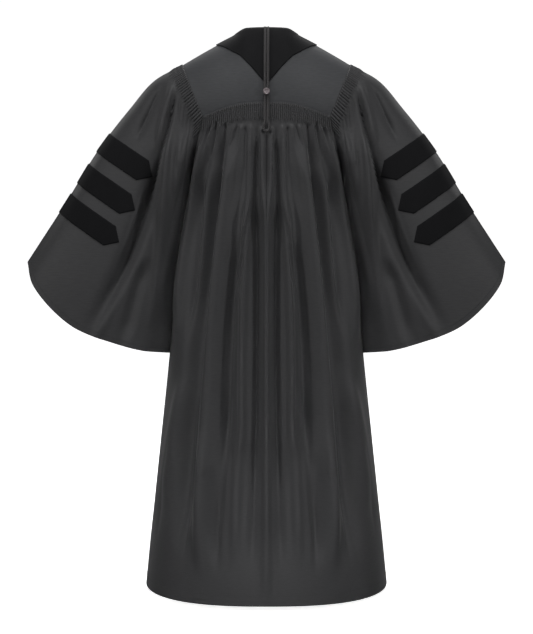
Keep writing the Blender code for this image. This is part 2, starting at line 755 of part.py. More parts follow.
def front_shares(fluted):
    v_part = np.linspace(0, V_SHARE, 4)
    band_part = np.linspace(V_SHARE, BAND_SHARE, BAND_STEPS + 1)[1:]
    steps = 2 * FRONT_FLUTES if fluted else SEAM_STEPS - BAND_STEPS
    seam_part = np.linspace(BAND_SHARE, ARCH_SHARE, steps + 1)[1:]
    arm_part = np.linspace(ARCH_SHARE, 1, QUARTER_STEPS + 1)[1:]
    return np.concatenate([v_part, band_part, seam_part, arm_part])


def front_rows(share, downs, seams, fluted):
    rows = []
    for down in downs:
        lift = flute_lift(share, BAND_SHARE, ARCH_SHARE, FRONT_FLUTES) if fluted else 0.0
        row = surface_row(front_surface, share, down, (0, 1), -1, lift)
        if down == 0:
            on_seam = (share >= V_SHARE - 1e-9) & (share <= ARCH_SHARE + 1e-9)
            at = (share[on_seam] - V_SHARE) / (ARCH_SHARE - V_SHARE)
            row.pin(on_seam, seams["front_yoke"], at, FRONT_BELOW)
            arm = share > ARCH_SHARE + 1e-9
            at = -0.5 - 0.5 * (share[arm] - ARCH_SHARE) / (1 - ARCH_SHARE)
            row.pin(arm, seams["armhole"], at, BODY_SIDE)
        pin_side(row, [-1], 1)
        row.places[0, 0] = SEAM_GAP / 2
        row.out[0] = (0, 1, 0)
        rows.append(row)
    return rows


def build_front(seams, cloth):
    fine, plain = front_shares(True), front_shares(False)
    downs = BACK_LEVELS + LOW_LEVELS
    outer = front_rows(fine, FLUTED_DROP, seams, True) + front_rows(plain, downs, seams, False)
    inner = front_rows(plain, (0.0,) + FLUTED_DROP[1:] + downs, seams, False)
    wall = Wall().build(outer, inner)
    for side, mirrored in SIDES:
        add_object("front_panel_" + side, wall.points, wall.faces, cloth, mirrored)
    return inner


def band_face(wall, yoke_rows, panel_rows, distance):
    """One face of the band: its rows on the yoke and on the panel, and its two long edges."""
    width = BAND_STEPS + 1
    on_yoke = [wall.line(row.moved(distance)[:width], row.share[:width]) for row in yoke_rows]
    v_count = int(np.sum(panel_rows[0].share < V_SHARE - 1e-9))
    count = v_count + width
    v_line = wall.line(panel_rows[0].moved(distance)[:v_count], panel_rows[0].share[:v_count])
    first = (v_line[0] + on_yoke[-1][0], list(panel_rows[0].share[:count]))
    on_panel = [first] + [wall.line(row.moved(distance)[:count], row.share[:count]) for row in panel_rows[1:]]
    wall.skin(on_yoke)
    wall.skin(on_panel)
    inner_edge = [line[0][0] for line in on_yoke] + v_line[0][::-1] + [line[0][0] for line in on_panel[1:]]
    outer_edge = [line[0][-1] for line in on_yoke] + [line[0][-1] for line in on_panel[1:]]
    return on_yoke[0], on_panel[-1], inner_edge, outer_edge


def build_bands(velvet, yoke_rows, panel_rows):
    wall = Wall()
    outer = band_face(wall, yoke_rows, panel_rows, LAY_GAP + VELVET_WALL)
    inner = band_face(wall, yoke_rows, panel_rows, LAY_GAP)
    wall.rim(outer[0], inner[0])
    wall.rim(outer[1], inner[1])
    for outer_edge, inner_edge in zip(outer[2:], inner[2:]):
        steps = np.arange(len(outer_edge))
        stitch(wall.faces, outer_edge, inner_edge, steps, steps)
    for side, mirrored in SIDES:
        add_object("front_band_" + side, wall.points, wall.faces, velvet, mirrored)


# Yokes
def build_back_yoke(seams, cloth):
    share = yoke_shares()
    rows = [yoke_row(share, down, seams) for down in yoke_downs()]
    wall = Wall().build(rows, rows)
    add_object("back_yoke", wall.points, wall.faces, cloth)


def yoke_shares():
    half = np.concatenate([np.linspace(0, NECK_SHARE, NECK_STEPS + 1),
                           NECK_SHARE + (1 - NECK_SHARE) * np.array(RIDGE_PARTS[1:])])
    return np.concatenate([-half[::-1], half[1:]])


def yoke_downs():
    return np.linspace(0, 1, QUARTER_STEPS + 1)


def yoke_row(share, down, seams):
    row = surface_row(yoke_surface, share, down, (-1, 1), 1)
    flip = np.array([-1, 1, 1])
    ridge = np.abs(share) >= NECK_SHARE - 1e-9
    if down == 0:
        at = (np.abs(share[ridge]) - NECK_SHARE) / (1 - NECK_SHARE)
        place, out, aside = seams["shoulder"].at(at, RIDGE_BACK)
        turned = np.where(share[ridge, None] < 0, flip, 1)
        row.places[ridge] = (place + aside) * turned
        row.out[ridge] = out * turned
    if down == 1:
        row.pin(slice(None), seams["arch"], share, ARCH_ABOVE)
    place, out, aside = seams["armhole"].at(down / 2, BODY_SIDE)
    row.places[-1] = place + aside + (row.places[-1] - yoke_surface(share[-1:], np.array([down]))[0])
    row.places[0] = row.places[-1] * flip
    row.out[-1] = unit(out + (row.out[-1] if down in (0, 1) else 0))
    row.out[0] = row.out[-1] * flip
    return row


def front_yoke_row(share, down, seams):
    row = surface_row(front_yoke_surface, share, down, (0, 1), -1)
    plain = front_yoke_surface(share[-1:], np.array([down]))[0]
    if down == 0:
        row.pin(slice(None), seams["shoulder"], share, RIDGE_FRONT)
    if down == 1:
        row.pin(slice(None), seams["front_yoke"], share, FRONT_ABOVE)
    moved = row.places[-1] - plain if down in (0, 1) else 0
    place, out, aside = seams["armhole"].at(-down / 2, BODY_SIDE)
    row.places[-1] = place + aside + moved
    row.out[-1] = unit(out + (row.out[-1] if down in (0, 1) else 0))
    return row


def build_front_yokes(seams, cloth):
    share = np.linspace(0, 1, SEAM_STEPS + 1)
    rows = [front_yoke_row(share, down, seams) for down in yoke_downs()]
    wall = Wall().build(rows, rows)
    for side, mirrored in SIDES:
        add_object("front_yoke_" + side, wall.points, wall.faces, cloth, mirrored)
    return rows


# Velvet neck piece
def neck_v_down(share):
    """Where the velvet's edge crosses each column of the yoke."""
    rows = table(NECK_V_COLUMNS, NECK_V_ROWS)
    steps = np.linspace(0, 1, 201)
    ends = []
    for column in share:
        places = yoke_surface(np.full_like(steps, column), steps)
        edge = np.interp(np.abs(places[:, 0]), rows["x"], rows["z"])
        above = places[:, 2] - edge
        ends.append(np.interp(0.0, -above, steps))
    return np.array(ends)


def build_neck_velvet(velvet):
    """Lines down the yoke's own columns and levels, each ended at the velvet's edge."""
    widest = NECK_SHARE + VELVET_RIDGE_PART * (1 - NECK_SHARE)
    share = yoke_shares()
    share = share[np.abs(share) <= widest + 1e-9]
    ends = np.maximum(neck_v_down(share), NECK_V_LEAST)
    lines = []
    for column, end in zip(share, ends):
        levels = yoke_downs()
        down = np.append(levels[levels < end - 0.01], end)
        line_share = np.full_like(down, column)
        out = way_out_of(yoke_surface, line_share, down, (-1, 1), 1)
        places = yoke_surface(line_share, down)
        if abs(column) >= NECK_SHARE - 1e-9:
            places[0, 1] -= SEAM_GAP
            out[0] = ridge_out(column)
        lines.append(Row(down, places, out))
    wall = Wall().build(lines, lines, NECK_LAY_GAP + VELVET_WALL, NECK_LAY_GAP)
    add_object("neck_velvet", wall.points, wall.faces, velvet)


def ridge_out(share):
    return unit(point(0.33 * np.sign(share), 0.0, 0.9))


# Sleeves
def sleeve_rows(share, downs, seams, fluted):
    rows = []
    for down in downs:
        lift = 0.0
        if fluted:
            lift = flute_lift(np.abs(share), 0.0, 0.5, SLEEVE_FLUTES)
        row = surface_row(sleeve_surface, share, down, (-2, 2), -1, lift)
        if down == 0:
            row.pin(slice(None), seams["armhole"], share, SLEEVE_SIDE)
        rows.append(row)
    return rows


def sleeve_columns():
    return np.linspace(-1, 1, SLEEVE_COLUMNS + 1)[:-1]


def build_sleeves(seams, cloth):
    low_part = np.linspace(-1, -0.5, QUARTER_STEPS + 1)[:-1]
    head = np.linspace(-0.5, 0.5, 4 * SLEEVE_FLUTES + 1)
    fine = np.concatenate([low_part, head, -low_part[::-1][:-1]])
    plain = sleeve_columns()
    ring = np.linspace(-1, 1, 4 * QUARTER_STEPS + 1)[:-1]
    outer = sleeve_rows(fine, SLEEVE_FLUTED_DROP, seams, True)
    outer += sleeve_rows(plain, SLEEVE_LEVELS, seams, False)
    inner = sleeve_rows(ring, (0.0,), seams, False)
    inner += sleeve_rows(plain, SLEEVE_FLUTED_DROP[1:] + SLEEVE_LEVELS, seams, False)
    wall = Wall(around=True).build(outer, inner)
    for side, mirrored in SIDES:
        add_object("sleeve_" + side, wall.points, wall.faces, cloth, mirrored)
    return outer[len(SLEEVE_FLUTED_DROP):]


# Velvet bars: cut from the sleeve's own faces, then moved out
def sleeve_face(rows):
    """The sleeve's outer faces below the flutes, as one open surface."""
    wall = Wall(around=True)
    wall.skin([wall.line(row.places, row.share) for row in rows])
    form = bmesh.new()
    points = [form.verts.new(place) for place in wall.points]
    for face in wall.faces:
        form.faces.new([points[number] for number in face])
    bmesh.ops.recalc_face_normals(form, faces=form.faces)
    return form


def bar_cuts(row):
    """Planes that bound a bar: its two long sides and the two sides of its point."""
    middle = np.array([row["edge_x"], 0.0, row["edge_z"]])
    down = np.array([EDGE_RUN[0], 0.0, -EDGE_RUN[1]])
    inward = np.array([-BAR_RUN[0], 0.0, BAR_RUN[1]])
    tip = middle + inward * row["length"]
    cuts = []
    for side in (-1, 1):
        cuts.append((middle + down * side * BAR_WIDTH / 2, down * side))
        cuts.append((tip, unit(inward * BAR_WIDTH / 2 + down * side * BAR_POINT)))
    return cuts


def moved_out(form, near, far):
    """A closed wall on an open surface, between two distances from it."""
    form.normal_update()
    form.verts.index_update()
    count = len(form.verts)
    facing = 1 if sum(v.normal.dot(v.co - SLEEVE_MIDDLE) for v in form.verts) > 0 else -1
    points = [tuple(v.co + v.normal * facing * near) for v in form.verts]
    points += [tuple(v.co + v.normal * facing * far) for v in form.verts]
    faces = [[v.index for v in face.verts] for face in form.faces]
    faces += [[v.index + count for v in face.verts] for face in form.faces]
    for edge in form.edges:
        if edge.is_boundary:
            first, second = (v.index for v in edge.verts)
            faces.append((first, second, second + count, first + count))
    return points, faces


def build_bars(velvet, rows):
    for number, bar in enumerate(BAR_ROWS, start=1):
        form = sleeve_face(rows)
        for place, way in bar_cuts(dict(zip(BAR_COLUMNS.split(), bar))):
            everything = form.verts[:] + form.edges[:] + form.faces[:]
            bmesh.ops.bisect_plane(form, geom=everything, dist=CUT_SNAP, plane_co=place, plane_no=way,
                                   clear_outer=True)
        points, faces = moved_out(form, LAY_GAP, LAY_GAP + VELVET_WALL)
        form.free()
        for side, mirrored in SIDES:
            add_object(f"bar_{side}_{number}", points, faces, velvet, mirrored)


# Hood cord and button
def centre_line():
    """The gown's back on its centre line, from the neck edge down, and the way out of it."""
    steps = np.linspace(0, 1, 201)
    middle = np.zeros_like(steps)
    line = np.concatenate([yoke_surface(middle, steps), back_surface(middle, steps * 0.2)[1:]])
    tangent = unit(np.gradient(line, axis=0))
    return line, point(0 * tangent[:, 0], tangent[:, 2], -tangent[:, 1])


def on_centre_line(z, line, out):
    """Depth and way out at heights on the centre line."""
    def pick(values):
        return np.interp(-z, -line[:, 2], values)
    return pick(line[:, 1]), unit(point(0 * z, pick(out[:, 1]), pick(out[:, 2])))


def even_heights(line, top, low, count):
    """Heights that lie evenly along the centre line."""
    run = np.concatenate([[0], np.cumsum(np.linalg.norm(np.diff(line, axis=0), axis=1))])
    ends = np.interp([-top, -low], -line[:, 2], run)
    return np.interp(np.linspace(*ends, count), run, line[:, 2])


def cord_path():
    """Middle of the cord: down one strand, round the loop and up the other."""
    line, line_out = centre_line()
    z = np.concatenate([even_heights(line, CORD_TOP, CORD_LOOP_START, 18)[:-1],
                        np.linspace(CORD_LOOP_START, CORD_LOOP_WIDEST, 5)])
    open_share = ramp(z, CORD_LOOP_START, CORD_LOOP_WIDEST)
    x = STRAND_OFFSET + (LOOP_OFFSET - STRAND_OFFSET) * open_share
    angles = np.linspace(0, np.pi, 9)[1:-1]
    turn_x = LOOP_OFFSET * np.cos(angles)
    turn_z = CORD_LOOP_WIDEST + (CORD_BOTTOM + CORD_WIDTH / 2 - CORD_LOOP_WIDEST) * np.sin(angles)
    x = np.concatenate([x, turn_x, -x[::-1]])
    z = np.concatenate([z, turn_z, z[::-1]])
    y, out = on_centre_line(z, line, line_out)
    lift = CORD_LIFT + CORD_GATHER_LIFT * ramp(z, *CORD_RISES)
    return point(x, y, z) + out * lift[:, None], out


def build_cord(cloth):
    path, out = cord_path()
    tangent = unit(np.gradient(path, axis=0))
    across = unit(np.cross(tangent, out))
    wall_points, faces, rings = [], [], []
    sides = CORD_SIDES
    for middle, aside, up in zip(path, across, out):
        ring = []
        for angle in np.linspace(0, 2 * np.pi, sides, endpoint=False):
            offset = aside * np.cos(angle) * CORD_WIDTH / 2 + up * np.sin(angle) * CORD_THICKNESS / 2
            ring.append(len(wall_points))
            wall_points.append(tuple(middle + offset))
        rings.append(ring)
    for first, second in zip(rings, rings[1:]):
        for i in range(sides):
            j = (i + 1) % sides
            faces.append((first[i], first[j], second[j], second[i]))
    faces.append(tuple(rings[0]))
    faces.append(tuple(rings[-1]))
    add_object("hood_cord", wall_points, faces, cloth)


def build_button(plastic):
    y, out = on_centre_line(np.array([BUTTON_HEIGHT]), *centre_line())
    base = CORD_LIFT + CORD_THICKNESS / 2 + SEAM_GAP
    form = bmesh.new()
    points = []
    for radius, height in BUTTON_PROFILE:
        points.append(form.verts.new((radius * BUTTON_RADIUS, 0, height * BUTTON_THICKNESS)))
    edges = [form.edges.new(pair) for pair in zip(points, points[1:])]
    bmesh.ops.spin(form, geom=points + edges, cent=(0, 0, 0), axis=(0, 0, 1), angle=2 * np.pi,
                   steps=BUTTON_STEPS)
    bmesh.ops.remove_doubles(form, verts=form.verts, dist=1e-5)
    middle = np.array([0.0, y[0], BUTTON_HEIGHT]) + out[0] * base
    across = np.array([1.0, 0.0, 0.0])
    up = np.cross(out[0], across)
    places = [tuple(middle + across * v.co.x + up * v.co.y + out[0] * v.co.z) for v in form.verts]
    form.verts.index_update()
    faces = [[v.index for v in face.verts] for face in form.faces]
    form.free()
    add_object("hood_button", places, faces, plastic)


def clear_scene():
    for old in list(bpy.data.objects):
        bpy.data.objects.remove(old, do_unlink=True)
    collection = bpy.data.collections.new(OBJECT_NAME)
    bpy.context.scene.collection.children.link(collection)


def main():
    clear_scene()
    seams = {
        "armhole": armhole_seam(),
        "arch": arch_seam(),
        "shoulder": shoulder_seam(),
        "front_yoke": front_yoke_seam(),
    }
    yoke_cloth = material("yoke_cloth", YOKE_COLOUR, 0.72)
    cloth = material("gown_cloth", CLOTH_COLOUR, 0.75)
    velvet = material("velvet", VELVET_COLOUR, 0.95)
    bar_velvet = material("bar_velvet", BAR_COLOUR, 0.95)
    build_back_yoke(seams, yoke_cloth)
    build_back(seams, cloth)
    yoke_rows = build_front_yokes(seams, yoke_cloth)
    panel_rows = build_front(seams, cloth)
    build_bands(velvet, yoke_rows, panel_rows)
    sleeve_outer_rows = build_sleeves(seams, cloth)
    build_neck_velvet(velvet)
    build_bars(bar_velvet, sleeve_outer_rows)
    build_cord(material("hood_cord", CORD_COLOUR, 0.7))
    build_button(material("hood_button", BUTTON_COLOUR, 0.35))


main()
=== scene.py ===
# Graduation gown seen from behind: cloth, velvet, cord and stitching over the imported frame.
# Metres, in the part's own frame: -Y is the gown's back, +Z is up, "right" is the +X side.
import json

import bpy
import bmesh
import numpy as np
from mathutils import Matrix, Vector

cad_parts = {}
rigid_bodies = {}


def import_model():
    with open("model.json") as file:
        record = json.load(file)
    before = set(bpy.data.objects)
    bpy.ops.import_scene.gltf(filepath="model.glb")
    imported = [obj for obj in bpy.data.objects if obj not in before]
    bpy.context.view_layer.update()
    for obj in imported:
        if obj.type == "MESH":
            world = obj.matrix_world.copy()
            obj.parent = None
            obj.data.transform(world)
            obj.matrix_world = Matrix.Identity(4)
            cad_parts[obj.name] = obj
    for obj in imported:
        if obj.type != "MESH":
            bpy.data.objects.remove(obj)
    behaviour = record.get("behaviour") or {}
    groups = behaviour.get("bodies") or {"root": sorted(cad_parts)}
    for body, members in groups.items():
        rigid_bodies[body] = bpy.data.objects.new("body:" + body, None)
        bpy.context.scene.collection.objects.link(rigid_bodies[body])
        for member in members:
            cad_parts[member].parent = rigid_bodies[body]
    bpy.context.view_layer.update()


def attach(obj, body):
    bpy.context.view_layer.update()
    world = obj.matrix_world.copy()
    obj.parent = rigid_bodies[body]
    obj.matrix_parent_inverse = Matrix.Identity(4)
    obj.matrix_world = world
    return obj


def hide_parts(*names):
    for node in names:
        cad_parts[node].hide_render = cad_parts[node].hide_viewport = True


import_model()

# Cloth and seams
WALL = 0.0016
VELVET_WALL = 0.0018
SEAM_GAP = 0.00003
LAY_GAP = 0.0005
NECK_LAY_GAP = 0.0009
FLUTE_HEIGHT = 0.0011

# Heights
HEM_HEIGHT = -1.2735
UNDERARM_HEIGHT = -0.3185

# Neck and shoulders of the right side
NECK_HALF_WIDTH = 0.0712
NECK_BACK = -0.067
NECK_SIDE = (0.0712, -0.005, 0.0101)
NAPE_HEIGHT = 0.0203
NECK_SLOPE = (0.044, 0.076)
SHOULDER_TIP = (0.192, 0.0, -0.055)
YOKE_CORNER = (0.143, -0.095, -0.1763)
FRONT_CORNER = (0.143, 0.088, -0.1680)
UNDERARM = (0.1755, 0.0, UNDERARM_HEIGHT)
FRONT_YOKE_INNER = (0.034, 0.1115, -0.1080)
V_POINT = (0.0, 0.1215, -0.1720)

# Share of a column's travel, of one for the whole width, that the neck and the arched seam take
NECK_SHARE = 5 / 12
ARCH_SHARE = 0.665
V_SHARE = 0.16
SEAM_STEPS = 8
BAND_STEPS = 3
BAND_SHARE = V_SHARE + (ARCH_SHARE - V_SHARE) * BAND_STEPS / SEAM_STEPS

# Flutes: how many and how far down the shirred zone reaches
BACK_FLUTES = 64
FRONT_FLUTES = 10
SLEEVE_FLUTES = 28
FLUTED_DROP = (0.0, 0.034)
SLEEVE_FLUTED_DROP = (0.0, 0.050)

# Trunk: one row for each level
TRUNK_SQUARENESS = 2.5
YOKE_HOLD = 0.3
SIDE_SEAM_FLAT = 0.07
TOP_EDGE_FLAT = 0.03
TRUNK_TURN = 0.75
TRUNK_COLUMNS = "height half_width back_depth front_depth"
TRUNK_ROWS = (
    (-0.1500, 0.1720, 0.1190, 0.1180),
    (-0.3185, 0.1765, 0.1400, 0.1310),
    (-0.5878, 0.2140, 0.1620, 0.1480),
    (-0.7330, 0.2290, 0.1720, 0.1560),
    (-0.9840, 0.2570, 0.1860, 0.1700),
    (-1.1312, 0.2735, 0.1950, 0.1790),
    (-1.2735, 0.2885, 0.2060, 0.1880),
)

# Ridge of the shoulder, from the neck to the tip
SHOULDER_COLUMNS = "share x y z"
SHOULDER_ROWS = (
    (0.00, 0.0712, -0.005, 0.0101),
    (0.34, 0.1107, -0.002, -0.0095),
    (0.68, 0.1530, 0.000, -0.0325),
    (1.00, 0.1920, 0.000, -0.0550),
)

# Arched seam under the back yoke, centre to corner
ARCH_COLUMNS = "share x y z"
ARCH_ROWS = (
    (0.00, 0.0000, -0.1200, -0.1475),
    (0.27, 0.0386, -0.1195, -0.1480),
    (0.54, 0.0772, -0.1160, -0.1545),
    (0.79, 0.1130, -0.1080, -0.1660),
    (1.00, 0.1430, -0.0950, -0.1763),
)

# Seam under the front yoke, from the V edge to the corner
FRONT_SEAM_COLUMNS = "share x y z"
FRONT_SEAM_ROWS = (
    (0.00, 0.0340, 0.1115, -0.1080),
    (0.50, 0.0900, 0.1060, -0.1380),
    (1.00, 0.1430, 0.0880, -0.1680),
)

# Lower edge of the velvet neck piece, from the centre point to the shoulder ridge
NECK_V_COLUMNS = "x z"
NECK_V_ROWS = (
    (0.0000, -0.1070),
    (0.0056, -0.1020),
    (0.0347, -0.0676),
    (0.0584, -0.0433),
    (0.0981, -0.0200),
    (0.1155, -0.0125),
)

# Way out of the cloth along the armhole seam, by quarters from tip to underarm
ARMHOLE_OUT_COLUMNS = "share x y z"
ARMHOLE_OUT_ROWS = (
    (0.00, 0.45, 0.00, 0.90),
    (0.25, 0.40, -0.65, 0.62),
    (0.50, 0.25, -1.00, 0.05),
    (0.75, 0.30, -0.75, -0.55),
    (1.00, 0.10, 0.00, -1.00),
)

# Sleeve: outer edge, inner edge and hem. The hem's share runs from outer to inner edge
SLEEVE_OUTER_COLUMNS = "share x z"
SLEEVE_OUTER_ROWS = (
    (0.00, 0.1920, -0.0550),
    (0.12, 0.2550, -0.0875),
    (0.28, 0.3176, -0.1560),
    (0.48, 0.3910, -0.2490),
    (0.71, 0.4650, -0.3650),
    (1.00, 0.5616, -0.5100),
)
SLEEVE_INNER_COLUMNS = "share x z"
SLEEVE_INNER_ROWS = (
    (0.00, 0.1755, -0.3185),
    (0.12, 0.1885, -0.3600),
    (0.50, 0.2120, -0.5200),
    (1.00, 0.2350, -0.7220),
)
SLEEVE_HEM_COLUMNS = "share x depth z"
SLEEVE_HEM_ROWS = (
    (0.00, 0.5616, 0.000, -0.5100),
    (0.15, 0.5430, 0.036, -0.5620),
    (0.38, 0.4500, 0.072, -0.6530),
    (0.58, 0.3475, 0.090, -0.6920),
    (0.80, 0.2640, 0.074, -0.7140),
    (1.00, 0.2325, 0.000, -0.7220),
)
SLEEVE_FRONT_RATIO = 0.95

# Where the sleeve's underside turns in and lies along the body's side, and how clear of it
HUG_SHARE = (0.74, 0.87)
HUG_DOWN = (0.02, 0.10)
HUG_GAP = 0.0022
HUG_TURNS = np.linspace(0.62, 1.0, 24)
HUG_BLUR = 0.006

# How the corner at the side of the neck softens down the yoke
NECK_SOFT = 0.12
NECK_SOFT_DOWN = 0.25
NECK_SOFT_STEPS = (-1.0, -0.67, -0.33, 0.0, 0.33, 0.67, 1.0)

# Folds of the right half of the trunk's back: a line through three places, seen from behind.
# A height below zero is a sharper valley. Both halves have them.
FOLD_COLUMNS = "x_top z_top x_mid z_mid x_low z_low half_width height"
CENTRE_FOLD_ROWS = (
    (0.009, -0.2215, 0.009, -0.3186, 0.003, -0.4331, 0.0055, 0.0060),
    (0.000, -0.3300, 0.000, -0.7157, 0.000, -1.1446, 0.0085, 0.0110),
)
BACK_FOLD_ROWS = (
    (0.021, -0.2259, 0.026, -0.3407, 0.027, -0.4469, 0.0065, -0.0120),
    (0.024, -0.3900, 0.022, -0.6520, 0.027, -1.0120, 0.0100, -0.0150),
    (0.038, -0.2170, 0.038, -0.3208, 0.044, -0.4180, 0.0070, 0.0060),
    (0.043, -0.3700, 0.052, -0.6057, 0.054, -0.9640, 0.0090, 0.0130),
    (0.069, -0.4623, 0.083, -0.6510, 0.090, -0.9656, 0.0140, -0.0170),
    (0.076, -0.2523, 0.125, -0.7171, 0.149, -1.1835, 0.0180, 0.0160),
    (0.098, -0.2255, 0.145, -0.6690, 0.191, -1.1837, 0.0080, -0.0160),
    (0.114, -0.3185, 0.159, -0.6697, 0.204, -1.1477, 0.0140, -0.0160),
    (0.134, -0.3141, 0.148, -0.4801, 0.163, -0.6155, 0.0080, 0.0060),
    (0.149, -0.3200, 0.164, -0.5031, 0.182, -0.6709, 0.0090, -0.0140),
    (0.135, -0.2182, 0.180, -0.4338, 0.211, -0.6945, 0.0085, 0.0140),
    (0.187, -0.7709, 0.211, -0.8880, 0.240, -1.0652, 0.0160, 0.0100),
    (0.117, -0.9649, 0.117, -1.0789, 0.113, -1.1816, 0.0100, -0.0090),
)
FRONT_FOLD_ROWS = (
    (0.122, -0.2300, 0.138, -0.6200, 0.166, -1.2400, 0.0220, 0.0180),
    (0.146, -0.2700, 0.168, -0.6400, 0.206, -1.1700, 0.0120, -0.0170),
    (0.166, -0.3300, 0.194, -0.6000, 0.242, -1.1300, 0.0100, 0.0120),
)

# Folds of the right sleeve's back, seen from behind
SLEEVE_FOLD_ROWS = (
    (0.206, -0.1279, 0.241, -0.2711, 0.278, -0.3978, 0.0090, -0.0130),
    (0.254, -0.3185, 0.314, -0.4937, 0.395, -0.6496, 0.0190, -0.0190),
    (0.229, -0.2058, 0.234, -0.4314, 0.265, -0.6799, 0.0150, 0.0190),
    (0.280, -0.5180, 0.309, -0.6145, 0.328, -0.6884, 0.0150, -0.0130),
    (0.246, -0.1218, 0.266, -0.1647, 0.289, -0.2145, 0.0095, -0.0110),
    (0.213, -0.0976, 0.229, -0.1611, 0.245, -0.2329, 0.0090, 0.0110),
    (0.186, -0.2200, 0.198, -0.3850, 0.212, -0.5500, 0.0200, 0.0240),
)
SLEEVE_FRONT_FOLD_SHIFT = 0.012
SLEEVE_FOLDS_START = (0.02, 0.09)
SLEEVE_FRONT_FOLD_SCALE = 0.8

# How flat the top of a ridge is, and how round the bottom of a sharp valley is as a share of its
# half width. A valley wider than the widest is a soft one
RIDGE_POWER = 2.6
CREASE_ROUND = 0.25
CREASE_WIDEST = 0.0095

# How far a fold runs past its ends, the shares of it that it takes to rise and to fade, and the
# most that these take
FOLD_PAST = 0.03
FOLD_RISE = 0.2
FOLD_FADE = 0.3
FOLD_RISE_MOST = 0.06
FOLD_FADE_MOST = 0.16

# Short gathers just below the back's flutes
GATHERS_A_SIDE = 13
GATHER_PITCH = 0.0108
GATHER_HEIGHT = 0.0024
GATHER_START = -0.195
GATHER_LENGTH = 0.075
GATHER_FAN = 1.1
GATHER_HALF_WIDTH = 0.36 * GATHER_PITCH

# Rows of the panels, from the top edge to the hem
BACK_LEVELS = (0.052, 0.078, 0.115, 0.16, 0.215)
LOW_LEVELS = (0.28, 0.36, 0.45, 0.54, 0.64, 0.76, 0.88, 1.0)
BACK_MIDDLE_COLUMNS = 49
BACK_LOW_COLUMNS = 45
SLEEVE_LEVELS = (0.11, 0.18, 0.27, 0.37, 0.47, 0.57, 0.67, 0.78, 0.89, 1.0)

# Steps down a quarter of the armhole, which the yokes and panels share
QUARTER_STEPS = 8
SLEEVE_COLUMNS = 42
RIDGE_PARTS = (0.0, 0.10, 0.20, 0.28, 0.34, 0.375, 0.52, 0.68, 0.84, 1.0)
VELVET_RIDGE_PART = 0.375
NECK_STEPS = 7

# Velvet sleeve bars: place down the sleeve's outer edge and length from it
BAR_WIDTH = 0.0530
BAR_POINT = 0.0265
BAR_COLUMNS = "edge_x edge_z length"
BAR_ROWS = (
    (0.3775, -0.2340, 0.142),
    (0.4235, -0.3060, 0.149),
    (0.4675, -0.3740, 0.157),
)
BAR_RUN = (0.8387, -0.5446)
CUT_SNAP = 0.0006
SLEEVE_MIDDLE = Vector((0.33, 0.0, -0.42))
EDGE_RUN = (0.5446, 0.8387)

# Hood cord and button
CORD_SIDES = 6
CORD_WIDTH = 0.0062
CORD_THICKNESS = 0.0036
CORD_LIFT = 0.0056
CORD_RISES = (-0.150, -0.185)
CORD_GATHER_LIFT = 0.0024
STRAND_OFFSET = 0.0033
LOOP_OFFSET = 0.0062
CORD_TOP = 0.0168
CORD_LOOP_START = -0.188
CORD_LOOP_WIDEST = -0.203
CORD_BOTTOM = -0.2150
BUTTON_HEIGHT = -0.1237
BUTTON_RADIUS = 0.0076
BUTTON_THICKNESS = 0.0042
BUTTON_STEPS = 20
BUTTON_PROFILE = ((0.0, 0.0), (0.74, 0.0), (0.98, 0.28), (1.0, 0.55), (0.90, 0.88), (0.72, 1.0),
                  (0.62, 0.82), (0.0, 0.76))

# Step that measures which way a surface faces
SURFACE_STEP = 0.002

# Which side of a seam a piece is on, and the two sides of the gown
BODY_SIDE, SLEEVE_SIDE = 1, -1
ARCH_BELOW, ARCH_ABOVE = 1, -1
FRONT_BELOW, FRONT_ABOVE = -1, 1
RIDGE_BACK, RIDGE_FRONT = 1, -1
SIDES = (("right", False), ("left", True))
NECK_V_LEAST = 0.05

# Colours
CLOTH_COLOUR = (0.050, 0.050, 0.053, 1.0)
# The yoke's colour is the cloth's colour painted lighter: painted light where the yoke faces up toward the light
YOKE_PAINTED_LIGHT_COLOUR = (0.058, 0.061, 0.065, 1.0)
VELVET_COLOUR = (0.008, 0.008, 0.009, 1.0)
BAR_COLOUR = (0.007, 0.007, 0.008, 1.0)
CORD_COLOUR = (0.140, 0.115, 0.125, 1.0)
BUTTON_COLOUR = (0.150, 0.125, 0.130, 1.0)


# Small helpers
def table(columns, rows):
    """The rows of a table, by the names of its columns."""
    return dict(zip(columns.split(), np.array(rows, float).T))


def smooth(knots, values, at):
    """A smooth curve through a table's rows."""
    slopes = np.gradient(values, knots)
    at = np.asarray(at, float)
    low = np.clip(np.searchsorted(knots, at, side="right") - 1, 0, len(knots) - 2)
    span = knots[low + 1] - knots[low]
    t = (at - knots[low]) / span
    start = (1 + 2 * t) * (1 - t) ** 2 * values[low] + t * (1 - t) ** 2 * span * slopes[low]
    end = t * t * (3 - 2 * t) * values[low + 1] + t * t * (t - 1) * span * slopes[low + 1]
    return start + end


def point(x, y, z):
    return np.stack(np.broadcast_arrays(x, y, z), axis=-1).astype(float)


def unit(vectors):
    return vectors / np.maximum(np.linalg.norm(vectors, axis=-1, keepdims=True), 1e-9)


def ramp(at, start, end):
    """0 at start and 1 at end, with soft ends."""
    t = np.clip((at - start) / (end - start), 0, 1)
    return t * t * (3 - 2 * t)


def over_shoulder(share):
    """How far x, y and z have travelled on the round way down from the shoulder ridge."""
    angle = share * np.pi / 2
    down = 1 - np.cos(angle)
    return point(down, np.sin(angle), down)


# Seam lines of the right side
def shoulder_ridge(share):
    rows = table(SHOULDER_COLUMNS, SHOULDER_ROWS)
    return point(*(smooth(rows["share"], rows[axis], share) for axis in "xyz"))


def neckline(share):
    """Back neck edge, from the centre to the side of the neck."""
    angle = share * np.pi / 2
    x = NECK_HALF_WIDTH * np.sin(angle)
    y = NECK_BACK + (NECK_SIDE[1] - NECK_BACK) * (1 - np.cos(angle))
    z = NAPE_HEIGHT + (NECK_SIDE[2] - NAPE_HEIGHT) * ramp(x, *NECK_SLOPE)
    return point(x, y, z)


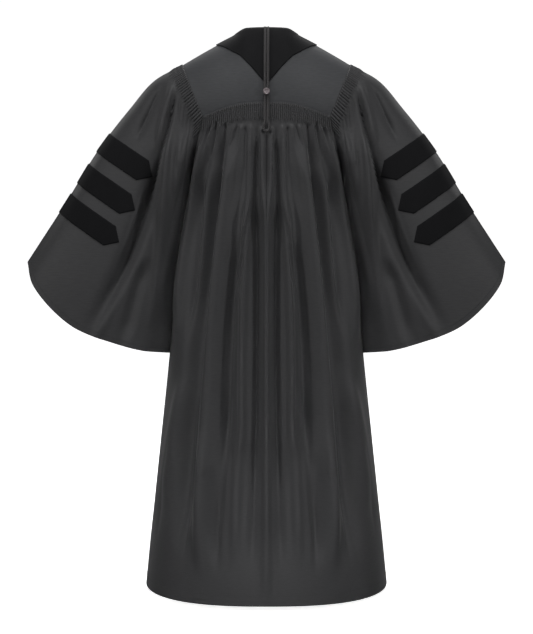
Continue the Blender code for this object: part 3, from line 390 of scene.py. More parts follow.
def arch(share):
    """Arched seam under the back yoke, from -1 at the left corner to 1 at the right."""
    rows = table(ARCH_COLUMNS, ARCH_ROWS)
    side = np.abs(share)
    x, y, z = (smooth(rows["share"], rows[axis], side) for axis in "xyz")
    return point(x * np.sign(share), y, z)


def front_seam(share):
    rows = table(FRONT_SEAM_COLUMNS, FRONT_SEAM_ROWS)
    return point(*(smooth(rows["share"], rows[axis], share) for axis in "xyz"))


def v_edge(share):
    """Lower part of the front's V, from its point to the front yoke."""
    low, high = np.array(V_POINT), np.array(FRONT_YOKE_INNER)
    return low + (high - low) * np.asarray(share, float)[..., None]


def armhole(share):
    """Right armhole: 0 at the shoulder tip, 1 at the underarm by the back, -1 by the front."""
    share = np.asarray(share, float)
    side = np.abs(share)
    tip, low = np.array(SHOULDER_TIP), np.array(UNDERARM)
    corner = np.where(share[..., None] < 0, np.array(FRONT_CORNER), np.array(YOKE_CORNER))
    upper = tip + (corner - tip) * over_shoulder(np.clip(side * 2, 0, 1))
    angle = np.clip(side * 2 - 1, 0, 1) * np.pi / 2
    travel = point(np.sin(angle), 1 - np.cos(angle), np.sin(angle))
    lower = corner + (low - corner) * travel
    return np.where(side[..., None] <= 0.5, upper, lower)


class Seam:
    """A sewn line as a chain of knots. Both of its pieces end on the same chain."""

    def __init__(self, knots, points, out):
        self.knots = np.asarray(knots, float)
        self.points = points
        self.out = unit(out)
        self.aside = unit(np.cross(np.gradient(points, axis=0), self.out))

    def at(self, share, side):
        """Places, way out of the cloth, and the step of half a seam gap to one side."""
        def pick(rows):
            return np.stack([np.interp(share, self.knots, rows[:, i]) for i in range(3)], axis=-1)
        return pick(self.points), unit(pick(self.out)), pick(self.aside) * side * SEAM_GAP / 2


def armhole_seam():
    knots = np.linspace(-1, 1, 4 * QUARTER_STEPS + 1)
    rows = table(ARMHOLE_OUT_COLUMNS, ARMHOLE_OUT_ROWS)
    x, y, z = (smooth(rows["share"], rows[axis], np.abs(knots)) for axis in "xyz")
    return Seam(knots, armhole(knots), point(x, y * np.where(knots < 0, -1, 1), z))


def arch_seam():
    knots = np.linspace(-1, 1, 25)
    return Seam(knots, arch(knots), point(0.35 * knots, -1.0, 0.12))


def shoulder_seam():
    knots = np.linspace(0, 1, 8)
    return Seam(knots, shoulder_ridge(knots), point(0.30 + 0.15 * knots, 0.0, 0.9))


def front_yoke_seam():
    knots = np.linspace(0, 1, 9)
    return Seam(knots, front_seam(knots), point(0.05 + 0.25 * knots, 1.0, 0.12))


# Folds
def fold_relief(x, z, rows):
    """Height of the folds of a table at places seen from behind."""
    relief = np.zeros_like(x)
    for fold in rows:
        row = dict(zip(FOLD_COLUMNS.split(), fold))
        heights = np.array([row["z_top"], row["z_mid"], row["z_low"]])
        places = np.array([row["x_top"], row["x_mid"], row["x_low"]])
        curve = np.polyfit(heights, places, 2)
        line = np.polyval(curve, np.clip(z, heights[2] - FOLD_PAST, heights[0] + FOLD_PAST))
        reach = heights[0] - heights[2]
        rise, fade = min(FOLD_RISE * reach, FOLD_RISE_MOST), min(FOLD_FADE * reach, FOLD_FADE_MOST)
        start = ramp(z, heights[0] + FOLD_PAST, heights[0] - rise)
        end = ramp(z, heights[2] - FOLD_PAST, heights[2] + fade)
        distance = np.abs(x - line) / row["half_width"]
        if row["height"] > 0:
            profile = np.exp(-distance ** RIDGE_POWER)
        elif row["half_width"] > CREASE_WIDEST:
            profile = np.exp(-distance ** 2)
        else:
            profile = np.exp(CREASE_ROUND - np.hypot(distance, CREASE_ROUND))
        relief = relief + row["height"] * start * end * profile
    return relief


def gather_relief(x, z):
    """Short gathers, of uneven length, that fan out below the flutes."""
    relief = np.zeros_like(x)
    for i in range(GATHERS_A_SIDE):
        start = GATHER_PITCH * (i + 0.5 + 0.22 * np.sin(2.3 * i))
        length = GATHER_LENGTH * (0.65 + 0.7 * np.sin(1.7 * i + 0.4) ** 2)
        down = np.clip(GATHER_START - z, 0, None)
        line = start * (1 + GATHER_FAN * down)
        fade = ramp(z, GATHER_START + FOLD_PAST, GATHER_START) * ramp(down, length, FOLD_RISE * length)
        relief = relief + GATHER_HEIGHT * fade * np.exp(-(((x - line) / GATHER_HALF_WIDTH) ** 2))
    return relief


# Surfaces: each takes two arrays of shares and gives places in space
def trunk(turn, z, way):
    """Section of the trunk: turn -1 to 1 goes from side to side, way is -1 at the back."""
    rows = table(TRUNK_COLUMNS, TRUNK_ROWS)
    height = rows["height"][::-1]
    width = smooth(height, rows["half_width"][::-1], z)
    depth = smooth(height, rows["back_depth" if way < 0 else "front_depth"][::-1], z)
    angle = turn * np.pi / 2
    across, along = np.sin(angle), np.cos(angle)
    power = TRUNK_SQUARENESS
    reach = (np.abs(across / width) ** power + np.abs(along / depth) ** power) ** (-1 / power)
    return point(reach * across, way * reach * along, z)


def back_top(turn):
    """Top edge of the back panel: arched seam, then down the armholes."""
    side = np.abs(turn)
    inner = arch(np.clip(turn / ARCH_SHARE, -1, 1))
    outer = armhole(0.5 + 0.5 * np.clip((side - ARCH_SHARE) / (1 - ARCH_SHARE), 0, 1))
    outer[..., 0] *= np.where(turn < 0, -1, 1)
    return np.where(side[..., None] <= ARCH_SHARE, inner, outer)


def front_top(turn):
    """Top edge of the right front panel: V, yoke seam, armhole."""
    v = v_edge(np.clip(turn / V_SHARE, 0, 1))
    seam = front_seam(np.clip((turn - V_SHARE) / (ARCH_SHARE - V_SHARE), 0, 1))
    outer = armhole(-0.5 - 0.5 * np.clip((turn - ARCH_SHARE) / (1 - ARCH_SHARE), 0, 1))
    return np.where(turn[..., None] < V_SHARE, v, np.where(turn[..., None] <= ARCH_SHARE, seam, outer))


def panel(turn, down, top, way, relief):
    """A trunk panel that hangs from its top edge and takes the trunk's form lower down."""
    edge = top(turn)
    z = edge[..., 2] + (HEM_HEIGHT - edge[..., 2]) * down
    hold = np.clip(1 - down / YOKE_HOLD, 0, 1)[..., None] ** 2
    place = trunk(turn, z, way) + (edge - trunk(turn, edge[..., 2], way)) * hold
    way_out = unit(point(place[..., 0] * TRUNK_TURN, place[..., 1], 0 * z))
    fade = ramp(1 - np.abs(turn), 0.0, SIDE_SEAM_FLAT) * ramp(down, 0.0, TOP_EDGE_FLAT)
    lift = relief(np.abs(place[..., 0]), z) * fade
    return place + way_out * lift[..., None]


def back_surface(turn, down):
    def relief(x, z):
        return fold_relief(x, z, CENTRE_FOLD_ROWS + BACK_FOLD_ROWS) + gather_relief(x, z)
    return panel(turn, down, back_top, -1, relief)


def front_surface(turn, down):
    def relief(x, z):
        return fold_relief(x, z, FRONT_FOLD_ROWS)
    return panel(turn, down, front_top, 1, relief)


def yoke_top(share):
    """Top edge of the back yoke: shoulder ridge, neck, shoulder ridge."""
    side = np.abs(share)
    neck = neckline(np.clip(side / NECK_SHARE, 0, 1))
    ridge = shoulder_ridge(np.clip((side - NECK_SHARE) / (1 - NECK_SHARE), 0, 1))
    edge = np.where(side[..., None] <= NECK_SHARE, neck, ridge)
    edge[..., 0] *= np.where(share < 0, -1, 1)
    return edge


def yoke_surface(share, down):
    """The back yoke. The corner of its top edge at the neck softens away from that edge."""
    spread = NECK_SOFT * ramp(down, 0.0, NECK_SOFT_DOWN) * ramp(1 - np.abs(share), 0.0, NECK_SOFT)
    tops = [yoke_top(np.clip(share + step * spread, -1, 1)) for step in NECK_SOFT_STEPS]
    top, low = np.mean(tops, axis=0), arch(share)
    return top + (low - top) * over_shoulder(down)


def front_yoke_surface(share, down):
    top, low = shoulder_ridge(share), front_seam(share)
    return top + (low - top) * over_shoulder(down)


def sleeve_edge(columns, rows, share):
    rows = table(columns, rows)
    x = smooth(rows["share"], rows["x"], share)
    z = smooth(rows["share"], rows["z"], share)
    straight_x = rows["x"][0] + (rows["x"][-1] - rows["x"][0]) * share
    straight_z = rows["z"][0] + (rows["z"][-1] - rows["z"][0]) * share
    return point(x - straight_x, 0.0, z - straight_z)


def sleeve_hem(share):
    rows = table(SLEEVE_HEM_COLUMNS, SLEEVE_HEM_ROWS)
    side = np.abs(share)
    x = smooth(rows["share"], rows["x"], side)
    z = smooth(rows["share"], rows["z"], side)
    depth = smooth(rows["share"], rows["depth"], side)
    return point(x, depth * np.where(share < 0, SLEEVE_FRONT_RATIO, -1.0), z)


def body_side(y, z, surface, top):
    """How far out the body's side reaches at depths and heights."""
    edge = top(HUG_TURNS)[..., 2]
    down = np.clip((z[..., None] - edge) / (HEM_HEIGHT - edge), 0, 1)
    place = surface(np.broadcast_to(HUG_TURNS, down.shape), down)
    weight = np.exp(-(((np.abs(place[..., 1]) - np.abs(y)[..., None]) / HUG_BLUR) ** 2)) + 1e-9
    return (place[..., 0] * weight).sum(axis=-1) / weight.sum(axis=-1)


def sleeve_surface(share, down):
    """Right sleeve: share goes round it as on the armhole, down from armhole to hem."""
    share = (share + 1) % 2 - 1
    inner = ((1 - np.cos(np.pi * np.abs(share))) / 2)[..., None]
    along = down[..., None]
    place = (1 - along) * armhole(share) + along * sleeve_hem(share)
    place = place + (1 - inner) * sleeve_edge(SLEEVE_OUTER_COLUMNS, SLEEVE_OUTER_ROWS, down)
    place = place + inner * sleeve_edge(SLEEVE_INNER_COLUMNS, SLEEVE_INNER_ROWS, down)
    front = share < 0
    x = place[..., 0] - np.where(front, SLEEVE_FRONT_FOLD_SHIFT, 0)
    lift = fold_relief(x, place[..., 2], SLEEVE_FOLD_ROWS)
    lift = lift * np.where(front, SLEEVE_FRONT_FOLD_SCALE, 1.0)
    lift = lift * np.sqrt(np.abs(np.sin(np.pi * share))) * ramp(down, *SLEEVE_FOLDS_START)
    place[..., 1] += lift * np.where(front, 1.0, -1.0)
    hug = ramp(np.abs(share), *HUG_SHARE) * ramp(down, *HUG_DOWN)
    back_side = body_side(place[..., 1], place[..., 2], back_surface, back_top)
    front_side = body_side(place[..., 1], place[..., 2], front_surface, front_top)
    side = np.where(front, front_side, back_side) + HUG_GAP
    place[..., 0] += (side - place[..., 0]) * hug
    return place


def way_out_of(surface, share, down, share_range, facing):
    """Unit vectors square to a surface, out of the cloth."""
    step = SURFACE_STEP
    share_low = np.maximum(share - step, share_range[0])
    share_high = np.minimum(share + step, share_range[1])
    down_low, down_high = np.maximum(down - step, 0), np.minimum(down + step, 1)
    across = surface(share_high, down) - surface(share_low, down)
    along = surface(share, down_high) - surface(share, down_low)
    return unit(np.cross(along, across)) * facing


# Walls: a row is a line of places across the cloth, with the way out at each
class Row:
    def __init__(self, share, places, out, lift=0.0):
        self.share = np.asarray(share, float)
        self.places = places
        self.out = out
        self.lift = np.broadcast_to(lift, self.share.shape)

    def moved(self, distance):
        return self.places + self.out * distance

    def pin(self, which, seam, at, side):
        """Ends the chosen places on a seam."""
        place, out, aside = seam.at(at, side)
        self.places[which] = place + aside
        self.out[which] = out


def surface_row(surface, share, down, share_range, facing, lift=0.0):
    share = np.asarray(share, float)
    level = np.full_like(share, down)
    out = way_out_of(surface, share, level, share_range, facing)
    return Row(share, surface(share, level), out, lift)


def stitch(faces, first, second, first_at, second_at):
    """Triangles between two lines of points that need not have the same count."""
    i, j = 0, 0
    while i < len(first) - 1 or j < len(second) - 1:
        more_first = i < len(first) - 1
        if more_first and (j == len(second) - 1 or first_at[i + 1] <= second_at[j + 1] + 1e-9):
            faces.append((first[i], first[i + 1], second[j]))
            i += 1
        else:
            faces.append((first[i], second[j + 1], second[j]))
            j += 1


class Wall:
    """A closed wall of cloth between outer rows and inner rows."""

    def __init__(self, around=False):
        self.points = []
        self.faces = []
        self.around = around

    def line(self, places, share):
        start = len(self.points)
        self.points.extend(tuple(place) for place in places)
        numbers = list(range(start, start + len(places)))
        share = list(share)
        if self.around:
            numbers.append(start)
            share.append(share[0] + 2)
        return numbers, share

    def skin(self, lines):
        for (first, first_at), (second, second_at) in zip(lines, lines[1:]):
            stitch(self.faces, first, second, first_at, second_at)

    def rim(self, outer, inner):
        stitch(self.faces, outer[0], inner[0], outer[1], inner[1])

    def side_rim(self, outer_lines, inner_lines, end):
        outer = [numbers[end] for numbers, share in outer_lines]
        inner = [numbers[end] for numbers, share in inner_lines]
        stitch(self.faces, outer, inner, np.linspace(0, 1, len(outer)), np.linspace(0, 1, len(inner)))

    def build(self, outer_rows, inner_rows, outer_move=0.0, inner_move=-WALL):
        outer = [self.line(row.moved(outer_move + row.lift[:, None]), row.share) for row in outer_rows]
        inner = [self.line(row.moved(inner_move), row.share) for row in inner_rows]
        self.skin(outer)
        self.skin(inner)
        self.rim(outer[0], inner[0])
        self.rim(outer[-1], inner[-1])
        if not self.around:
            self.side_rim(outer, inner, 0)
            self.side_rim(outer, inner, -1)
        return self



def pin_side(row, which, way):
    """Ends a row's place on the side seam."""
    for end in which:
        row.places[end, 1] = way * SEAM_GAP / 2
        row.out[end] = (np.sign(row.places[end, 0]), 0, 0)


def pin_back_top(row, side, on_arch, seams):
    """Ends the back panel's first row on the arched seam and both armholes."""
    row.pin(on_arch, seams["arch"], row.share[on_arch] / ARCH_SHARE, ARCH_BELOW)
    outer = ~on_arch
    at = 0.5 + 0.5 * (side[outer] - ARCH_SHARE) / (1 - ARCH_SHARE)
    place, out, aside = seams["armhole"].at(at, BODY_SIDE)
    flip = np.where(row.share[outer] < 0, -1, 1)[:, None] * np.array([1, 0, 0]) + np.array([0, 1, 1])
    row.places[outer] = (place + aside) * flip
    row.out[outer] = out * flip


def yoke_row(share, down, seams):
    row = surface_row(yoke_surface, share, down, (-1, 1), 1)
    flip = np.array([-1, 1, 1])
    ridge = np.abs(share) >= NECK_SHARE - 1e-9
    if down == 0:
        at = (np.abs(share[ridge]) - NECK_SHARE) / (1 - NECK_SHARE)
        place, out, aside = seams["shoulder"].at(at, RIDGE_BACK)
        turned = np.where(share[ridge, None] < 0, flip, 1)
        row.places[ridge] = (place + aside) * turned
        row.out[ridge] = out * turned
    if down == 1:
        row.pin(slice(None), seams["arch"], share, ARCH_ABOVE)
    place, out, aside = seams["armhole"].at(down / 2, BODY_SIDE)
    row.places[-1] = place + aside + (row.places[-1] - yoke_surface(share[-1:], np.array([down]))[0])
    row.places[0] = row.places[-1] * flip
    row.out[-1] = unit(out + (row.out[-1] if down in (0, 1) else 0))
    row.out[0] = row.out[-1] * flip
    return row


def front_yoke_row(share, down, seams):
    row = surface_row(front_yoke_surface, share, down, (0, 1), -1)
    plain = front_yoke_surface(share[-1:], np.array([down]))[0]
    if down == 0:
        row.pin(slice(None), seams["shoulder"], share, RIDGE_FRONT)
    if down == 1:
        row.pin(slice(None), seams["front_yoke"], share, FRONT_ABOVE)
    moved = row.places[-1] - plain if down in (0, 1) else 0
    place, out, aside = seams["armhole"].at(-down / 2, BODY_SIDE)
    row.places[-1] = place + aside + moved
    row.out[-1] = unit(out + (row.out[-1] if down in (0, 1) else 0))
    return row


def neck_v_down(share):
    """Where the velvet's edge crosses each column of the yoke."""
    rows = table(NECK_V_COLUMNS, NECK_V_ROWS)
    steps = np.linspace(0, 1, 201)
    ends = []
    for column in share:
        places = yoke_surface(np.full_like(steps, column), steps)
        edge = np.interp(np.abs(places[:, 0]), rows["x"], rows["z"])
        above = places[:, 2] - edge
        ends.append(np.interp(0.0, -above, steps))
    return np.array(ends)


def ridge_out(share):
    return unit(point(0.33 * np.sign(share), 0.0, 0.9))


def centre_line():
    """The gown's back on its centre line, from the neck edge down, and the way out of it."""
    steps = np.linspace(0, 1, 201)
    middle = np.zeros_like(steps)
    line = np.concatenate([yoke_surface(middle, steps), back_surface(middle, steps * 0.2)[1:]])
    tangent = unit(np.gradient(line, axis=0))
    return line, point(0 * tangent[:, 0], tangent[:, 2], -tangent[:, 1])


def on_centre_line(z, line, out):
    """Depth and way out at heights on the centre line."""
    def pick(values):
        return np.interp(-z, -line[:, 2], values)
    return pick(line[:, 1]), unit(point(0 * z, pick(out[:, 1]), pick(out[:, 2])))


def even_heights(line, top, low, count):
    """Heights that lie evenly along the centre line."""
    run = np.concatenate([[0], np.cumsum(np.linalg.norm(np.diff(line, axis=0), axis=1))])
    ends = np.interp([-top, -low], -line[:, 2], run)
    return np.interp(np.linspace(*ends, count), run, line[:, 2])


def cord_path():
    """Middle of the cord: down one strand, round the loop and up the other."""
    line, line_out = centre_line()
    z = np.concatenate([even_heights(line, CORD_TOP, CORD_LOOP_START, 18)[:-1],
                        np.linspace(CORD_LOOP_START, CORD_LOOP_WIDEST, 5)])
    open_share = ramp(z, CORD_LOOP_START, CORD_LOOP_WIDEST)
    x = STRAND_OFFSET + (LOOP_OFFSET - STRAND_OFFSET) * open_share
    angles = np.linspace(0, np.pi, 9)[1:-1]
    turn_x = LOOP_OFFSET * np.cos(angles)
    turn_z = CORD_LOOP_WIDEST + (CORD_BOTTOM + CORD_WIDTH / 2 - CORD_LOOP_WIDEST) * np.sin(angles)
    x = np.concatenate([x, turn_x, -x[::-1]])
    z = np.concatenate([z, turn_z, z[::-1]])
    y, out = on_centre_line(z, line, line_out)
    lift = CORD_LIFT + CORD_GATHER_LIFT * ramp(z, *CORD_RISES)
    return point(x, y, z) + out * lift[:, None], out


# Scene: how finely each piece is drawn
BACK_FINE_DOWNS = np.linspace(0.0, 0.070, 44)
BACK_DOWNS = np.concatenate([np.linspace(0.073, 0.32, 62), np.linspace(0.33, 1.0, 64)])
FRONT_FINE_DOWNS = np.linspace(0.0, 0.070, 30)
FRONT_DOWNS = np.concatenate([np.linspace(0.075, 0.30, 24), np.linspace(0.32, 1.0, 50)])
SLEEVE_FINE_DOWNS = np.linspace(0.0, 0.105, 34)
SLEEVE_DOWNS = np.linspace(0.11, 1.0, 90)
COLUMNS_A_FLUTE = 6
SIDE_COLUMNS = 20
BACK_PLAIN_COLUMNS = 341
FRONT_PLAIN_COLUMNS = 111
SLEEVE_PLAIN_COLUMNS = 300
INNER_STEP = 2

# Scene flutes: heights, where they fade and how the shirring threads pinch them
SCENE_FLUTE_HEIGHT = 0.0026
SCENE_SLEEVE_FLUTES = 34
SLEEVE_FLUTES_END = 0.57
FLUTE_ROUNDNESS = 0.8
FLUTE_RISE = 0.004
BACK_FLUTE_END = (0.030, 0.046)
SLEEVE_FLUTE_END = (0.042, 0.080)
PINCH_DEPTH = 0.16
PINCH_WIDTH = 0.0015
BACK_PINCHES = (0.0085, 0.0165, 0.0245)
SLEEVE_PINCHES = (0.016, 0.032)

# Scene gathers below the back's flutes, in the fold tables' columns: ridges, then valleys that
# narrow to a point
GATHER_ROWS = (
    (0.013, -0.2038, 0.012, -0.2745, 0.012, -0.4178, 0.0035, 0.0030),
    (0.000, -0.2082, 0.000, -0.2965, 0.000, -0.4178, 0.0025, -0.0030),
    (0.035, -0.1994, 0.035, -0.2523, 0.036, -0.3009, 0.0035, 0.0030),
    (0.048, -0.2038, 0.047, -0.2524, 0.049, -0.3053, 0.0045, -0.0040),
    (0.056, -0.1993, 0.063, -0.2567, 0.080, -0.3230, 0.0045, 0.0045),
    (0.067, -0.1992, 0.077, -0.2368, 0.088, -0.2633, 0.0030, -0.0035),
    (0.072, -0.1992, 0.082, -0.2412, 0.093, -0.2898, 0.0040, 0.0035),
    (0.092, -0.1969, 0.097, -0.2411, 0.102, -0.2831, 0.0030, -0.0050),
    (0.103, -0.1967, 0.107, -0.2298, 0.112, -0.2608, 0.0030, 0.0030),
    (0.112, -0.1922, 0.118, -0.2297, 0.129, -0.2739, 0.0035, -0.0050),
    (0.121, -0.2030, 0.128, -0.2473, 0.132, -0.2784, 0.0030, 0.0035),
    (0.127, -0.2007, 0.136, -0.2360, 0.142, -0.2805, 0.0035, -0.0050),
)
GATHER_PAST = 0.006
GATHER_POINT = 0.55
GATHER_SPREAD = 0.6

# Finer creases between the main folds, seen from behind
BACK_CREASE_ROWS = (
    (0.053, -0.2965, 0.062, -0.3738, 0.071, -0.4849, 0.0090, -0.0050),
    (0.128, -0.2517, 0.139, -0.3074, 0.152, -0.3748, 0.0080, -0.0050),
    (0.059, -0.2479, 0.067, -0.3141, 0.076, -0.3759, 0.0050, -0.0035),
    (0.038, -0.3916, 0.050, -0.4734, 0.065, -0.5887, 0.0035, -0.0060),
    (0.045, -0.3959, 0.057, -0.4734, 0.071, -0.5887, 0.0030, 0.0025),
    (0.089, -0.5840, 0.103, -0.7623, 0.110, -0.9651, 0.0080, -0.0035),
    (0.098, -0.3406, 0.115, -0.5172, 0.129, -0.6730, 0.0060, 0.0025),
    (0.221, -0.9124, 0.238, -1.0069, 0.256, -1.1409, 0.0080, -0.0040),
    (0.060, -0.8627, 0.067, -1.0104, 0.072, -1.1688, 0.0110, 0.0070),
    (0.027, -0.8990, 0.029, -1.0439, 0.034, -1.1862, 0.0110, -0.0080),
    (0.094, -0.7987, 0.101, -0.9553, 0.113, -1.1383, 0.0110, -0.0090),
    (0.135, -0.8981, 0.149, -1.0342, 0.154, -1.1957, 0.0120, 0.0060),
    (0.000, -1.0300, 0.000, -1.1337, 0.000, -1.2402, 0.0110, 0.0050),
    (0.178, -0.8165, 0.192, -1.0007, 0.211, -1.1831, 0.0110, -0.0060),
)
FRONT_CREASE_ROWS = (
    (0.112, -0.2000, 0.124, -0.3200, 0.134, -0.5200, 0.0060, 0.0028),
    (0.150, -0.5000, 0.168, -0.8000, 0.196, -1.1800, 0.0090, 0.0035),
)
SLEEVE_CREASE_ROWS = (
    (0.155, -0.1802, 0.164, -0.2202, 0.172, -0.2647, 0.0045, -0.0055),
    (0.166, -0.1512, 0.177, -0.1868, 0.186, -0.2294, 0.0045, -0.0050),
    (0.158, -0.2115, 0.167, -0.2520, 0.172, -0.2900, 0.0045, 0.0040),
    (0.180, -0.1353, 0.189, -0.2069, 0.195, -0.2918, 0.0040, -0.0060),
    (0.194, -0.1329, 0.202, -0.2180, 0.204, -0.3141, 0.0055, -0.0070),
    (0.171, -0.1936, 0.177, -0.2450, 0.185, -0.3051, 0.0035, -0.0050),
    (0.207, -0.1394, 0.221, -0.2290, 0.234, -0.4764, 0.0080, 0.0060),
    (0.206, -0.1281, 0.239, -0.2714, 0.278, -0.3979, 0.0045, -0.0090),
    (0.269, -0.3638, 0.306, -0.4730, 0.356, -0.5810, 0.0060, -0.0070),
    (0.279, -0.3456, 0.305, -0.4205, 0.334, -0.5005, 0.0045, 0.0035),
    (0.246, -0.1218, 0.266, -0.1647, 0.291, -0.2237, 0.0070, -0.0050),
    (0.217, -0.5710, 0.224, -0.6403, 0.229, -0.6983, 0.0160, 0.0050),
    (0.330, -0.5200, 0.356, -0.6000, 0.392, -0.6900, 0.0140, 0.0040),
)
HEM_DEPTH = 0.022


def uneven(number):
    """A fixed uneven value from 0 to 1 for each whole number."""
    value = np.sin(np.asarray(number, float) * 12.9898 + 4.1) * 43758.5453
    return value - np.floor(value)


def flute_relief(share, down, first, last, flutes, zone, pinches):
    """Rounded flutes between two shares, pinched where the shirring threads run."""
    phase = np.clip((share - first) / (last - first), 0, 1) * flutes
    number = np.minimum(np.floor(phase), flutes - 1)
    wave = np.sin(np.pi * np.clip(phase - number, 0, 1)) ** FLUTE_ROUNDNESS
    end = zone[0] + (zone[1] - zone[0]) * (0.35 + 0.65 * uneven(number))
    height = SCENE_FLUTE_HEIGHT * (0.8 + 0.4 * uneven(number + 31)) * ramp(down, end, zone[0] * 0.9)
    height = height * (0.35 + 0.65 * ramp(down, 0.0, FLUTE_RISE))
    for pinch in pinches:
        height = height * (1 - PINCH_DEPTH * np.exp(-(((down - pinch) / PINCH_WIDTH) ** 2)))
    return wave * height


def scene_gathers(x, z):
    """Gathers below the back's flutes: blunt at the top, the valleys pointed at the foot."""
    relief = np.zeros_like(x)
    for gather in GATHER_ROWS:
        row = dict(zip(FOLD_COLUMNS.split(), gather))
        heights = np.array([row["z_top"], row["z_mid"], row["z_low"]])
        curve = np.polyfit(heights, np.array([row["x_top"], row["x_mid"], row["x_low"]]), 2)
        line = np.polyval(curve, np.clip(z, heights[2], heights[0] + GATHER_PAST))
        share = np.clip((heights[0] - z) / (heights[0] - heights[2]), 0, 1)
        start = ramp(z, heights[0] + GATHER_PAST, heights[0] - GATHER_PAST)
        fade = start * (1 - share ** 2)
        valley = row["height"] < 0
        width = row["half_width"] * (1 - GATHER_POINT * share if valley else 1 + GATHER_SPREAD * share)
        relief = relief + row["height"] * fade * np.exp(-(((x - line) / width) ** 2))
    return relief


def scene_back_surface(turn, down):
    def relief(x, z):
        folds = CENTRE_FOLD_ROWS + BACK_FOLD_ROWS + BACK_CREASE_ROWS
        return fold_relief(x, z, folds) + scene_gathers(x, z)
    return panel(turn, down, back_top, -1, relief)


def scene_front_surface(turn, down):
    def relief(x, z):
        return fold_relief(x, z, FRONT_FOLD_ROWS + FRONT_CREASE_ROWS)
    return panel(turn, down, front_top, 1, relief)


def scene_sleeve_surface(share, down):
    place = sleeve_surface(share, down)
    share = (share + 1) % 2 - 1
    front = share < 0
    x = place[..., 0] - np.where(front, SLEEVE_FRONT_FOLD_SHIFT, 0)
    lift = fold_relief(x, place[..., 2], SLEEVE_CREASE_ROWS) * np.where(front, SLEEVE_FRONT_FOLD_SCALE, 1.0)
    lift = lift * np.sqrt(np.abs(np.sin(np.pi * share))) * ramp(down, *SLEEVE_FOLDS_START)
    place[..., 1] += lift * np.where(front, 1.0, -1.0)
    return place


# Scene objects
def add_piece(name, points, faces, cloth, node, mirrored=False, uv=None, around=False):
    """A smooth piece that rides on the gown and stands for a node of the frame."""
    side = -1 if mirrored else 1
    mesh = bpy.data.meshes.new(name)
    mesh.from_pydata([(x * side, y, z) for x, y, z in points], [], faces)
    form = bmesh.new()
    form.from_mesh(mesh)
    bmesh.ops.recalc_face_normals(form, faces=form.faces)
    if form.calc_volume(signed=True) < 0:
        bmesh.ops.reverse_faces(form, faces=form.faces)
    form.to_mesh(mesh)
    form.free()
    mesh.shade_smooth()
    mesh.set_sharp_from_angle(angle=np.radians(62))
    if uv is not None:
        add_uv(mesh, np.array(uv), around)
    piece = bpy.data.objects.new(name, mesh)
    piece.data.materials.append(cloth)
    bpy.context.scene.collection.objects.link(piece)
    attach(piece, "root")
    if node:
        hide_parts(node)
    return piece


def add_uv(mesh, uv, around):
    """Weave coordinates in metres. Round a tube, the last column counts on past the first."""
    corners = np.zeros(len(mesh.loops), int)
    mesh.loops.foreach_get("vertex_index", corners)
    at = uv[corners]
    if around:
        starts = np.zeros(len(mesh.polygons), int)
        totals = np.zeros(len(mesh.polygons), int)
        mesh.polygons.foreach_get("loop_start", starts)
        mesh.polygons.foreach_get("loop_total", totals)
        width = np.ptp(uv[:, 0])
        for start, total in zip(starts, totals):
            span = at[start:start + total, 0]
            if np.ptp(span) > width / 2:
                span[span < 0] += width
    layer = mesh.uv_layers.new(name="weave")
    layer.uv.foreach_set("vector", at.astype(np.float32).ravel())


class SceneWall(Wall):
    """A wall that also keeps the weave coordinates of its points."""

    def __init__(self, around=False, width=1.0):
        super().__init__(around)
        self.uv = []
        self.width = width

    def line(self, places, share):
        self.uv.extend((s * self.width, z) for s, (x, y, z) in zip(share, places))
        return super().line(places, share)


def thinned(rows):
    return rows[::INNER_STEP] + ([] if (len(rows) - 1) % INNER_STEP == 0 else [rows[-1]])


def scene_rows(surface, share, downs, share_range, facing, flutes=None, pin=None):
    rows = []
    for down in downs:
        lift = flutes(share, down) if flutes else 0.0
        row = surface_row(surface, share, down, share_range, facing, lift)
        if pin:
            pin(row, down)
        rows.append(row)
    return rows


def fluted_columns(first, last, flutes):
    return np.linspace(first, last, COLUMNS_A_FLUTE * flutes + 1)


# Back panel
def scene_back(seams, cloth):
    side_part = np.linspace(ARCH_SHARE, 1, SIDE_COLUMNS + 1)[1:]
    fine = np.concatenate([-side_part[::-1], fluted_columns(-ARCH_SHARE, ARCH_SHARE, BACK_FLUTES), side_part])
    plain = np.linspace(-1, 1, BACK_PLAIN_COLUMNS)

    def flutes(share, down):
        return flute_relief(share, down, -ARCH_SHARE, ARCH_SHARE, BACK_FLUTES, BACK_FLUTE_END, BACK_PINCHES)

    def pin(row, down):
        if down == 0:
            side = np.abs(row.share)
            pin_back_top(row, side, side <= ARCH_SHARE + 1e-9, seams)
        pin_side(row, [0, -1], -1)

    outer = scene_rows(scene_back_surface, fine, BACK_FINE_DOWNS, (-1, 1), 1, flutes, pin)
    low = scene_rows(scene_back_surface, plain, BACK_DOWNS, (-1, 1), 1, None, pin)
    inner = scene_rows(scene_back_surface, plain, BACK_FINE_DOWNS[::INNER_STEP * 2], (-1, 1), 1, None, pin)
    wall = SceneWall(width=0.42).build(outer + low, inner + thinned(low))
    return add_piece("back_cloth", wall.points, wall.faces, cloth, "back_panel", uv=wall.uv)


